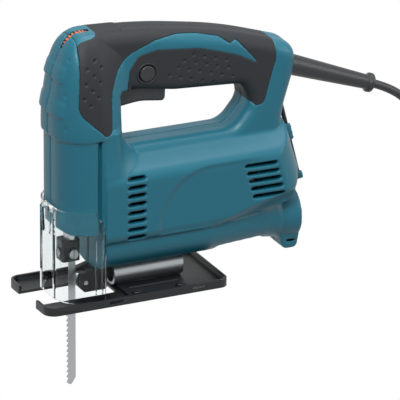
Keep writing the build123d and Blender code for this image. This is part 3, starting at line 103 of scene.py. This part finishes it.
corners = np.array(((-1, -1), (1, -1), (1, 1), (-1, 1))) * FLOOR_HALF
floor_mesh = bpy.data.meshes.new("floor")
floor_mesh.from_pydata([(x, y, FLOOR_Z) for x, y in corners], [], [(0, 1, 2, 3)])
floor = bpy.data.objects.new("floor", floor_mesh)
bpy.context.scene.collection.objects.link(floor)
# Uncoated card: dull all over, with hardly any shine of its own
card = bpy.data.materials.new("floor_card")
card.use_nodes = True
card_surface = card.node_tree.nodes["Principled BSDF"]
card_surface.inputs["Base Color"].default_value = linear("#6E6E6E")
card_surface.inputs["Roughness"].default_value = 0.9
card_surface.inputs["Specular IOR Level"].default_value = 0.1
card_white = add(card.node_tree, "Emission", {"Color": WHITE, "Strength": 1.0})
card_lit = card_surface.outputs["BSDF"]
white_when_seen(card.node_tree, card_lit, card_white.outputs["Emission"], "Material Output")
floor_mesh.materials.append(card)

# Light: a white room that fills the shadows a little, a large soft lamp over the left front, a wide one
# above and a weaker one from the rear left.
ROOM_FILL = 0.25
LAMP_AIM = Vector((0.08, 0, 0.1))
world = bpy.data.worlds.new("studio")
bpy.context.scene.world = world
world.use_nodes = True
room = world.node_tree.nodes["Background"]
room.inputs["Color"].default_value = WHITE
room.inputs["Strength"].default_value = ROOM_FILL
backdrop = add(world.node_tree, "Background", {"Color": WHITE, "Strength": 1.0})
white_when_seen(world.node_tree, room.outputs["Background"], backdrop.outputs["Background"], "World Output")


def lamp(name, place, size, power):
    """A soft round lamp, aimed at the middle of the tool."""
    data = bpy.data.lights.new(name, "AREA")
    data.shape = "DISK"
    data.size = size
    data.energy = power
    made = bpy.data.objects.new(name, data)
    bpy.context.scene.collection.objects.link(made)
    made.location = place
    made.rotation_euler = (LAMP_AIM - Vector(place)).to_track_quat("-Z", "Y").to_euler()


lamp("key", (-0.7, -1.1, 1.5), 0.7, 33.0)
lamp("top", (0.4, 0.0, 1.7), 1.4, 19.0)
lamp("side", (1.5, -0.8, 0.7), 0.9, 8.0)

# Motor: a wound armature on a ground shaft turns in two ball bearings, inside a stack of iron sheets with
# two field coils. The fan is pressed on the shaft, and two carbon brushes in moulded holders bear on the
# copper commutator.
MM = 0.001
MERGE = 2e-6
CLOUD_MM = 18.0
nodes = frame["nodes"]
body_of_node = {n: b for b, names in frame["record"]["behaviour"]["bodies"].items() for n in names}


def material(name, colour, roughness, metallic=0.0, grain_mm=0.0, grain_depth=0.0, round_mm=0.0, mottle=0.0,
             **shader):
    """A named real material: one colour, edges that catch the light as if rounded, a grain whose width and
    depth are in millimetres, and a gloss that varies by the mottle in clouds of 18 mm."""
    made = bpy.data.materials.new(name)
    made.use_nodes = True
    tree = made.node_tree
    principled = tree.nodes["Principled BSDF"]
    principled.inputs["Base Color"].default_value = linear(colour)
    principled.inputs["Roughness"].default_value = roughness
    principled.inputs["Metallic"].default_value = metallic
    for key, value in shader.items():
        principled.inputs[key.replace("_", " ")].default_value = value
    place = add(tree, "TexCoord", {}).outputs["Object"]
    normal = {}
    if round_mm:
        edge = add(tree, "Bevel", {"Radius": round_mm * MM}, samples=4)
        normal = {"Normal": edge.outputs["Normal"]}
    if grain_mm:
        grain = add(tree, "TexNoise", {"Vector": place, "Scale": 1 / (grain_mm * MM), "Detail": 2.0})
        height = {"Height": grain.outputs["Fac"], "Strength": 1.0, "Distance": grain_depth * MM}
        normal = {"Normal": add(tree, "Bump", {**height, **normal}).outputs["Normal"]}
    if normal:
        tree.links.new(normal["Normal"], principled.inputs["Normal"])
    if mottle:
        cloud = add(tree, "TexNoise", {"Vector": place, "Scale": 1 / (CLOUD_MM * MM), "Detail": 4.0})
        span = {"To Min": roughness - mottle, "To Max": roughness + mottle}
        gloss = add(tree, "MapRange", {"Value": cloud.outputs["Fac"], **span})
        tree.links.new(gloss.outputs["Result"], principled.inputs["Roughness"])
    return made


def merge_doubles(mesh):
    """Join the points of a mesh that lie on each other, which closes its seams and poles."""
    work = bmesh.new()
    work.from_mesh(mesh)
    bmesh.ops.remove_doubles(work, verts=work.verts, dist=MERGE)
    work.to_mesh(mesh)
    work.free()


def show(name, mesh, look, node):
    """Put a mesh into the scene in a material, on the body and in the place of a CAD node."""
    mesh.materials.clear()
    mesh.materials.append(look)
    piece = bpy.data.objects.new(name, mesh)
    bpy.context.scene.collection.objects.link(piece)
    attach(piece, body_of_node[node])
    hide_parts(node)
    return piece


def dress(node, look, angle=32.0):
    """Show a CAD node as a merged copy of its mesh in a material, smooth up to an edge angle in degrees."""
    mesh = nodes[node].data.copy()
    mesh.name = node + "_mesh"
    merge_doubles(mesh)
    mesh.shade_smooth()
    mesh.set_sharp_from_angle(angle=radians(angle))
    piece = show(node + "_look", mesh, look, node)
    even = piece.modifiers.new("even_shading", "WEIGHTED_NORMAL")
    even.keep_sharp = True
    return piece


# Ground steel: pale and bright, with crisp highlights along its turned edges
bright_steel = material("ground_bright_steel", "#BFC2C4", 0.28, metallic=1.0, round_mm=0.2)
# Stamped iron sheets in a stack: dark grey with a dull oily shine
lamination = material("lamination_iron", "#3E4042", 0.55, metallic=1.0)
# Enamelled copper: warm, with the gloss of its varnish
copper = material("copper_wire", "#B8693B", 0.35, metallic=1.0)
# Pressed carbon: near black and dull
carbon = material("pressed_carbon", "#26272A", 0.7)
# Black nylon from a fine mould: dark with a broad sheen. Its grain is drawn coarse enough to show.
black_nylon = material("moulded_black_nylon", "#191A1C", 0.4, grain_mm=0.5, grain_depth=0.01, round_mm=0.3)
for node in ("armature_shaft", "front_bearing", "rear_bearing"):
    dress(node, bright_steel)
for node in ("armature_core", "stator_core"):
    dress(node, lamination)
for node in ("armature_windings", "field_coils", "commutator"):
    dress(node, copper)
for node in ("cooling_fan", "brush_holders"):
    dress(node, black_nylon)
dress("carbon_brushes", carbon)

# Gear case and drive: a die-cast case holds the gear's fixed shaft and two pressed-in bronze bushes. The
# steel gear's crank pin runs in the yoke of the ground plunger rod, which slides in the bushes.
for node in ("gear_shaft", "drive_gear", "plunger_rod"):
    dress(node, bright_steel)
# Die-cast aluminium: grey and matt, with the fine grain of its mould
die_cast = material("die_cast_aluminium", "#85888A", 0.6, metallic=1.0, grain_mm=0.6, grain_depth=0.03)
dress("gear_case", die_cast)
# Sintered bronze: dull yellow, because its pores hold oil
bronze = material("sintered_bronze", "#9A7B45", 0.5, metallic=1.0)
dress("plunger_bushes", bronze)

# Switch, speed control and cord entry: moulded nylon boxes that lie in pockets of the shells. A nylon bar
# under two plated screws grips the rubber lead where it enters the handle.
for node in ("switch_body", "speed_controller", "cord_clamp"):
    dress(node, black_nylon)
# Zinc plate on steel: grey metal with cloudy patches of gloss
zinc_plate = material("zinc_plate", "#A6AAAC", 0.36, metallic=1.0, mottle=0.06, round_mm=0.3)
dress("cord_clamp_screws", zinc_plate)
# Extruded rubber: black, with a soft sheen along the lead
black_rubber = material("black_cord_rubber", "#17191D", 0.42, grain_mm=0.5, grain_depth=0.01)
dress("inner_lead", black_rubber)

# Housing shells: two nylon mouldings that meet on the centre plane, held by plated screws from the right.
# Their flanks are dished behind the front vents and sweep up to the rear, the dust port flares, the nose
# has two shingled pads, and the clear guard slides in a groove of the column.
SHELL_CELL_MM = 1.06
SHELL_ROUNDS = 4
DISH_X = 0.098
DISH_Z = 0.052
DISH_HALF_LENGTH = 0.043
DISH_HALF_HEIGHT = 0.044
DISH_DEPTH = 0.0015
HEEL_DEPTH = 0.004
CLIP_HALF = 0.0055
SWEEP_DEPTH = 0.008
PORT_Z = 0.037
PORT_FLARE = 0.0028
COLUMN_HALF = 0.0298
GROOVE_X = 0.0105
GROOVE_HALF = 0.0016
GROOVE_DEPTH = 0.004
NOSE_AXIS_X = 0.006
# The lower end, the upper end and the half width of each pad
NOSE_PADS = ((0.1455, 0.1555, 0.0195), (0.1710, 0.1810, 0.0155))
PAD_LIFT_MM = 0.9
NOSE_DIMPLES = ((-0.0077, 0.0148, 0.1873), (-0.0121, 0.0187, 0.1620), (-0.0132, 0.0210, 0.1369))
NOSE_DIMPLE_MM = 1.2
BAR_SIDES = 24
# A boss round the screw at the front of the finger gap
BOSS_FOOT = (0.029, -0.011, 0.139)
BOSS_LENGTH = 0.0199
BOSS_RADIUS = 0.0043


def smooth_step(low, high, value):
    """0 below low, 1 above high and an even S between them: t t (3 - 2 t)."""
    t = np.clip((value - low) / (high - low), 0, 1)
    return t * t * (3 - 2 * t)


def press(mesh, shape):
    """Move the points of a mesh: the shape function gives all their new places from all their old ones."""
    places = np.empty(len(mesh.vertices) * 3, dtype=np.float32)
    mesh.vertices.foreach_get("co", places)
    mesh.vertices.foreach_set("co", shape(places.reshape(-1, 3)).ravel())
    mesh.update()


def moulded(node, look, cell_mm, rounds, shape):
    """Show a CAD node as a moulding: its mesh is rebuilt in even cells and relaxed, so that its edges turn
    softly, and the shape function then presses its points in or out."""
    piece = dress(node, look, angle=180.0)
    cells = piece.modifiers.new("cells", "REMESH")
    cells.mode = "VOXEL"
    cells.voxel_size = cell_mm * MM
    cells.use_smooth_shade = True
    relax = piece.modifiers.new("relax", "SMOOTH")
    relax.factor = 0.5
    relax.iterations = rounds
    graph = bpy.context.evaluated_depsgraph_get()
    mesh = bpy.data.meshes.new_from_object(piece.evaluated_get(graph))
    mesh.name = node + "_moulding"
    piece.modifiers.clear()
    piece.data = mesh
    press(mesh, shape)
    return piece


def dish_depth(x, y, z):
    """The dish of a flank: 1 - sqrt(a a + b b) is the way in from its elliptic front edge, along which the
    depth grows to 1.5 mm. It runs out evenly to the rear."""
    a = np.minimum(x - DISH_X, 0) / DISH_HALF_LENGTH
    b = (z - DISH_Z) / DISH_HALF_HEIGHT
    inside = smooth_step(0.0, 0.09, 1 - np.sqrt(a * a + b * b))
    inside *= 1 - smooth_step(0.112, 0.150, x)
    flank = smooth_step(0.030, 0.0325, np.abs(y)) * (x > 0.05)
    return inside * flank * DISH_DEPTH


def heel_depth(x, y, z):
    """The lower rear corner beside the key's clips is drawn in by 4 mm: a product of even steps."""
    heel = smooth_step(0.165, 0.176, x) * smooth_step(0.052, 0.057, z)
    heel *= 1 - smooth_step(0.060, 0.078, z)
    return heel * HEEL_DEPTH * (np.abs(y) > CLIP_HALF)


def sweep_depth(x, y, z):
    """The lower edge of a flank sweeps up to the rear, along a line of slope 0.11 with an even rise of 9 mm
    on it. Below it the flank is drawn in by up to 8 mm, evenly more from 20 to 33 mm off the middle."""
    edge = 0.0492 + (x - 0.107) * 0.11 + 0.009 * smooth_step(0.100, 0.172, x)
    under = (1 - smooth_step(edge - 0.004, edge + 0.003, z)) * (z > 0.047)
    under *= smooth_step(0.095, 0.150, x)
    return under * SWEEP_DEPTH * np.clip((np.abs(y) - 0.020) / 0.013, 0, 1)


def flare_width(x, port):
    """The dust port widens by 2.8 mm towards its rear end: an even step in x, on the points outside the
    bore, whose distance from the port's axis is given."""
    flare = smooth_step(0.0128, 0.0160, port) * (1 - smooth_step(0.0175, 0.0260, port))
    return flare * (PORT_FLARE * smooth_step(0.150, 0.1745, x))


def nose_lift(x, y, z):
    """Each nose pad stands out by 0.9 mm at its lower end, falling evenly to nothing at its upper end.
    Three dimples on each side of the nose sink by exp(-(r / 1.2 mm)^2) mm."""
    lift = np.zeros_like(x)
    for low, high, half in NOSE_PADS:
        on_pad = (z > low - 0.0004) & (z < high) & (np.abs(y) < half) & (x < 0.002)
        pad = on_pad * (high - z) / (high - low)
        lift += pad * PAD_LIFT_MM * MM
    for x0, y0, z0 in NOSE_DIMPLES:
        squared = ((x - x0) ** 2 + (np.abs(y) - y0) ** 2 + (z - z0) ** 2) / (NOSE_DIMPLE_MM * MM) ** 2
        lift -= np.exp(-squared) * MM
    return lift


def shell_shape(places):
    """Press in the dish, the heel and the swept edge, widen the port away from its axis, keep the column's
    sides flat where the guard slides and sink its groove, and lift the nose's pads away from the nose's
    upright axis."""
    x, y, z = places.T.copy()
    out = np.sign(y)
    places[:, 1] -= out * dish_depth(x, y, z)
    places[:, 0] -= heel_depth(x, y, z)
    places[:, 1] -= out * sweep_depth(x, y, z)
    port = np.hypot(y, z - PORT_Z) + 1e-6
    flare = flare_width(x, port)
    places[:, 1] += flare * y / port
    places[:, 2] += flare * (z - PORT_Z) / port
    beside_guard = (x < 0.0140) & (z > 0.030) & (z < 0.1265)
    places[:, 1] = np.where(beside_guard, np.clip(y, -COLUMN_HALF, COLUMN_HALF), places[:, 1])
    groove = (np.abs(x - GROOVE_X) < GROOVE_HALF) * (np.abs(y) > 0.026) * (z > 0.046) * (z < 0.127)
    places[:, 1] -= out * groove * GROOVE_DEPTH
    reach = np.hypot(x - NOSE_AXIS_X, y) + 1e-6
    lift = nose_lift(x, y, z)
    places[:, 0] += lift * (x - NOSE_AXIS_X) / reach
    places[:, 1] += lift * y / reach
    return places


def surface(name, points, look, node, closed):
    """A new piece from a grid of points, round in its second direction and, if closed, also in its first."""
    rows, columns = points.shape[:2]
    number = np.arange(rows * columns).reshape(rows, columns)
    if closed:
        number = np.vstack([number, number[:1]])
    number = np.hstack([number, number[:, :1]])
    faces = np.stack([number[:-1, :-1], number[:-1, 1:], number[1:, 1:], number[1:, :-1]], -1)
    mesh = bpy.data.meshes.new(name)
    mesh.from_pydata(points.reshape(-1, 3).tolist(), [], faces.reshape(-1, 4).tolist())
    merge_doubles(mesh)
    mesh.shade_smooth()
    show(name, mesh, look, node)


def bar(name, foot, axis, length, radius, look, node):
    """A round bar from its foot along an axis of the frame: circles, closed to a point at both ends."""
    axis = np.array(axis, dtype=float)
    height = np.array((0, 0, 0.02, 0.98, 1, 1))[:, None, None] * length
    reach = np.array((0, 0.8, 1, 1, 0.8, 0))[:, None, None] * radius
    a = (np.arange(BAR_SIDES) * 2 * pi / BAR_SIDES)[None, :, None]
    spoke = np.cos(a) * np.roll(axis, 1) + np.sin(a) * np.roll(axis, 2)
    points = np.array(foot) + height * axis + reach * spoke
    surface(name, points, look, node, closed=False)


# Glass-filled nylon from a spark-eroded mould: satin blue-green. Its grain is drawn coarse enough to show.
teal_nylon = material("teal_glass_filled_nylon", "#136073", 0.42, grain_mm=0.45, grain_depth=0.008,
                      Specular_IOR_Level=0.4)
for node in ("housing_left", "housing_right"):
    moulded(node, teal_nylon, SHELL_CELL_MM, SHELL_ROUNDS, shell_shape)
bar("strut_screw_boss", BOSS_FOOT, (0, 1, 0), BOSS_LENGTH, BOSS_RADIUS, teal_nylon, "housing_right")
dress("housing_screws", zinc_plate)

# Grips: soft rubber moulded over the shells at the nose and the handle, with round dimples: a staggered
# column on the nose and slanting rows along the handle. At the top, the lip of the shells comes through
# round the speed dial.
GRIP_CELL_MM = 0.52
GRIP_ROUNDS = 2
DIMPLE_MM = 1.1
DIMPLE_DEPTH_MM = 0.8
NOSE_ROWS = 7
NOSE_ROW_TOP = (9.5, 187.0)
NOSE_ROW_STEP = (-0.95, -5.3)
NOSE_ROW_HALF = 5.5
# The x and z of each row's first dimple, in millimetres, and the count of its dimples
HANDLE_ROWS = ((90.6, 176.7, 4), (83.6, 173.2, 5), (78.4, 168.6, 6), (71.4, 163.6, 5))
HANDLE_ROW_STEP = (8.7, -2.7)
dimples_mm = []
for row in range(NOSE_ROWS):
    x = NOSE_ROW_TOP[0] + NOSE_ROW_STEP[0] * row
    z = NOSE_ROW_TOP[1] + NOSE_ROW_STEP[1] * row
    dimples_mm += [(x - NOSE_ROW_HALF, z), (x + NOSE_ROW_HALF, z)] if row % 2 else [(x, z)]
for x, z, count in HANDLE_ROWS:
    dimples_mm += [(x + HANDLE_ROW_STEP[0] * i, z + HANDLE_ROW_STEP[1] * i) for i in range(count)]


def grip_shape(places):
    """Sink each dimple by 0.8 mm at its middle: 0.8 exp(-(r / 1.1 mm)^2), towards the centre plane."""
    x, y, z = places.T.copy()
    for x0, z0 in dimples_mm:
        squared = ((x - x0 * MM) ** 2 + (z - z0 * MM) ** 2) / (DIMPLE_MM * MM) ** 2
        places[:, 1] -= np.sign(y) * DIMPLE_DEPTH_MM * MM * np.exp(-squared)
    return places


def two_tone(mesh, other, where):
    """Give the other material to the faces whose middles pass the test."""
    mesh.materials.append(other)
    middles = np.empty(len(mesh.polygons) * 3, dtype=np.float32)
    mesh.polygons.foreach_get("center", middles)
    mesh.polygons.foreach_set("material_index", where(middles.reshape(-1, 3)).astype(np.int32))


def dial_lip(middles):
    """The shells' lip round the dial: the top faces with ((x - 4) / 12.5)^4 + (y / 13.8)^4 < 1 in mm."""
    x, y, z = middles.T / MM
    return ((np.maximum(x - 4, 0) / 12.5) ** 4 + (y / 13.8) ** 4 < 1) & (z > 188)


# Thermoplastic rubber: charcoal, without a sharp highlight. Its grain is drawn coarse enough to show.
grip_rubber = material("grip_rubber", "#191D21", 0.6, grain_mm=0.6, grain_depth=0.03, Specular_IOR_Level=0.35)
for node in ("grip_left", "grip_right"):
    grip = moulded(node, grip_rubber, GRIP_CELL_MM, GRIP_ROUNDS, grip_shape)
    two_tone(grip.data, teal_nylon, dial_lip)

# Trigger: an acetal moulding that slides up into the handle on its stem, against the spring of the
# switch. Black acetal is smooth and slippery, which gives it a soft sheen over the finger's hollow.
trigger_acetal = material("moulded_acetal", "#1C1E21", 0.5, grain_mm=0.5, grain_depth=0.015, round_mm=0.4)
dress("trigger", trigger_acetal)

# Lock button: a nylon pin that is pressed in from the left to hold the trigger. A ring of the grip's
# rubber stands up round it, so that it isn't pressed by chance.
COLLAR_CENTRE = (0.0536, -0.0168, 0.1682)
COLLAR_RADIUS = 0.0076
COLLAR_THICK = 0.0009
COLLAR_STEPS = (64, 20)


def ring(name, centre, radius, thick, look, node):
    """A torus round an axis along Y: with reach = radius + thick cos b, the points are
    (reach cos a, thick sin b, reach sin a)."""
    around, across = (np.arange(count) * 2 * pi / count for count in COLLAR_STEPS)
    a, b = np.meshgrid(around, across, indexing="ij")
    reach = radius + thick * np.cos(b)
    points = np.array(centre) + np.stack([reach * np.cos(a), thick * np.sin(b), reach * np.sin(a)], -1)
    surface(name, points, look, node, closed=True)


dress("lock_button", black_nylon)
ring("button_collar", COLLAR_CENTRE, COLLAR_RADIUS, COLLAR_THICK, grip_rubber, "grip_left")

# Speed dial: an orange thumb wheel with fine ribs, moulded in one piece and turning on a pin between the
# shells. Its rim stands a little below the lip of its slot.
DIAL_CENTRE = np.array((0.0080, 0.0, 0.1885), dtype=np.float32)
DIAL_HUB = 0.012
DIAL_SINK = 0.0009


def dial_shape(places):
    """Draw the rim in by 0.9 mm along the spokes, the ways out from the dial's axis; the hub stays."""
    spoke = places - DIAL_CENTRE
    spoke[:, 1] = 0
    reach = np.linalg.norm(spoke, axis=1, keepdims=True)
    return places - (reach > DIAL_HUB) * DIAL_SINK * spoke / np.maximum(reach, MERGE)


# Dyed acetal: an even orange without a hard highlight
orange_acetal = material("orange_acetal", "#C86A45", 0.5, round_mm=0.2)
dial = dress("speed_dial", orange_acetal)
press(dial.data, dial_shape)

# Blade and clamp: a toothed strip of tool steel, held in the slit of a blackened steel block at the foot
# of the plunger by a side screw and a front screw.
dress("clamp_screws", zinc_plate)
# Blackened steel: dark, with a faint metal shine
black_steel = material("blackened_steel", "#2A2C2E", 0.4, metallic=0.7, round_mm=0.2)
dress("blade_clamp", black_steel)
# Rolled tool steel: bright, but its shine is a little soft from stamping and grinding
blade_steel = material("blade_tool_steel", "#A9ACAE", 0.34, metallic=1.0, round_mm=0.1)
dress("saw_blade", blade_steel)

# Blade retainer: a blackened steel fork that is set forwards or back under the housing. It carries a
# ground roller on a pin, which bears on the back of the blade.
dress("blade_retainer", black_steel)
for node in ("roller_pin", "guide_roller"):
    dress(node, bright_steel)

# Chip guard: one clear polycarbonate moulding that slides up in the grooves of the column. It has a
# raised finger frame at the front and two upright ribs on each side wall.
RIB_XS = (0.0056, 0.0107)
RIB_RADIUS = 0.0006
RIB_FOOT_Z = 0.010
RIB_LENGTH = 0.042
GUARD_SIDE_Y = 0.0323
# Polished clear plastic: it shows what is behind it. Thin walls bend the view little, so its IOR is low.
clear_plastic = material("clear_polycarbonate", "#F1F5F5", 0.03, Transmission_Weight=1.0, IOR=1.18)
dress("chip_guard", clear_plastic)
for side in (-1, 1):
    for x in RIB_XS:
        rib = f"guard_rib_{x * 1000:.0f}_{side}"
        foot = (x, side * GUARD_SIDE_Y, RIB_FOOT_Z)
        bar(rib, foot, (0, 0, 1), RIB_LENGTH, RIB_RADIUS, clear_plastic, "chip_guard")

# Base: a sole of pressed steel sheet, with a bevel barrel whose wings are riveted to it. One plated bolt
# and nut clamp it to the housing, and the barrel itself is plated where it turns in the housing's saddle.
PIVOT_Z = 0.011
BARREL_RADIUS = 0.009
PLATED_SKIN = 0.0004


def on_barrel(middles):
    """The faces of the round barrel: y y + (z - pivot)^2 below the square of its radius and a thin skin."""
    x, y, z = middles.T
    return y ** 2 + (z - PIVOT_Z) ** 2 < (BARREL_RADIUS + PLATED_SKIN) ** 2


# Powder coat: black, with the slight orange peel of baked powder
powder_coat = material("black_powder_coat", "#0E1215", 0.42, grain_mm=0.7, grain_depth=0.02, round_mm=0.5,
                       Specular_IOR_Level=0.4)
dress("base_plate", powder_coat)
barrel = dress("bevel_barrel", powder_coat)
two_tone(barrel.data, zinc_plate, on_barrel)
dress("base_rivets", powder_coat)
for node in ("base_clamp_bolt", "base_clamp_nut"):
    dress(node, zinc_plate)

# Hex key: a straight length of six-sided steel, blackened. It is kept in moulded clips on the rear of the
# housing and is drawn out along itself.
dress("hex_wrench", black_steel)

# Cord: one black rubber lead from its guard sleeve down to a round coil of four layers with a moulded
# plug on it, held by a nylon tie. Each half turn of the coil joins two crossings of the line through its
# middle.
CORD_DIAMETER = 0.0065
GUARD_ROOT = np.array((0.1765, 0.0, 0.1495))
GUARD_TURN = radians(21.2)
GUARD_LENGTH = 0.069
STRAIGHT_RUN = 0.014
COIL_X = 0.330
COIL_OUTER = 0.046
COIL_PITCH = 0.007
COIL_HALF_TURNS = 3
COIL_LAYERS = 4
COIL_LEAD_IN = 0.041
COIL_LIFT = 0.001
COIL_LOW_Z = FLOOR_Z + CORD_DIAMETER / 2 + COIL_LIFT
HALF_TURN_POINTS = 9
PLUG_Y = 0.016
PLUG_LIFT = 0.0106
PLUG_Z = COIL_LOW_Z + (COIL_LAYERS - 1) * COIL_PITCH + PLUG_LIFT
TAIL_RUN = 0.028
along = np.array((cos(GUARD_TURN), 0.0, -sin(GUARD_TURN)))
cord_start = GUARD_ROOT + along * GUARD_LENGTH
hanging = [cord_start, cord_start + along * STRAIGHT_RUN, (0.271, -0.001, 0.1065), (0.2795, -0.007, 0.087),
           (0.277, -0.017, 0.061), (0.269, -0.030, 0.032), (0.264, -0.040, -0.001), (0.264, -0.046, -0.033),
           (COIL_X - COIL_LEAD_IN, -COIL_OUTER, COIL_LOW_Z)]


def coil_crossings():
    """Where the half turns meet the middle line, as (y, z): in or out by half a pitch per half turn, and by
    a whole pitch in the half turn after each climb to the next layer."""
    crossings = []
    reach = COIL_OUTER
    inward = COIL_PITCH / 2
    sign = -1
    for layer in range(COIL_LAYERS):
        for k in range(COIL_HALF_TURNS + 1):
            crossings.append((sign * reach, COIL_LOW_Z + layer * COIL_PITCH))
            reach -= 2 * inward if layer and k == 0 else inward
            sign = -sign
        inward = -inward
    return crossings + [(sign * reach, PLUG_Z)]


def half_turn(start, end, heading):
    """Points of one half turn between two crossings, without the last: x = radius sin(pi t),
    y = middle + (y0 - middle) cos(pi t), and z goes evenly from the one to the other."""
    (y0, z0), (y1, z1) = start, end
    t = np.arange(HALF_TURN_POINTS) / HALF_TURN_POINTS
    middle = (y0 + y1) / 2
    x = COIL_X + heading * abs(y0 - y1) / 2 * np.sin(pi * t)
    y = middle + (y0 - middle) * np.cos(pi * t)
    return np.stack([x, y, z0 + (z1 - z0) * smooth_step(0, 1, t)], -1)


def coil_points():
    """The coil's half turns, to the rear and to the front by turns, then the tail: one more half turn,
    moved back, that leads over the top layer to the plug."""
    crossings = coil_crossings()
    turns = [half_turn(start, end, (-1) ** i) for i, (start, end) in enumerate(zip(crossings, crossings[1:]))]
    back = np.array((TAIL_RUN, 0, 0))
    plug_end = np.array((COIL_X, PLUG_Y, PLUG_Z)) + back
    tail = half_turn(crossings[-1], (PLUG_Y, PLUG_Z), 1) + back
    return np.vstack(turns + [(COIL_X, *crossings[-1]), tail, plug_end, plug_end - (CORD_DIAMETER, 0, 0)])


cord_points = np.vstack([hanging, coil_points()])
cord_curve = bpy.data.curves.new("cord", "CURVE")
cord_curve.dimensions = "3D"
cord_curve.bevel_depth = CORD_DIAMETER / 2
cord_curve.bevel_resolution = 6
cord_curve.use_fill_caps = True
cord_line = cord_curve.splines.new("NURBS")
cord_line.points.add(len(cord_points) - 1)
cord_line.points.foreach_set("co", np.insert(cord_points, 3, 1.0, axis=1).ravel())
cord_line.order_u = 3
cord_line.use_endpoint_u = True
cord_line.resolution_u = 5
cord_curve.materials.append(black_rubber)
cord = bpy.data.objects.new("cord", cord_curve)
bpy.context.scene.collection.objects.link(cord)
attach(cord, "housing")
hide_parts("power_cord", "cord_coil")
dress("cord_guard", black_rubber)
# Nickel plate on brass: a warm, bright metal
nickel_plate = material("nickel_plated_brass", "#C9C4B5", 0.25, metallic=1.0)
# Nylon strap: near black and dull
nylon_strap = material("nylon_tie_strap", "#1F2022", 0.6)
plug = dress("plug_body", black_rubber)
pins = dress("plug_pins", nickel_plate)
tie = dress("cord_tie", nylon_strap)
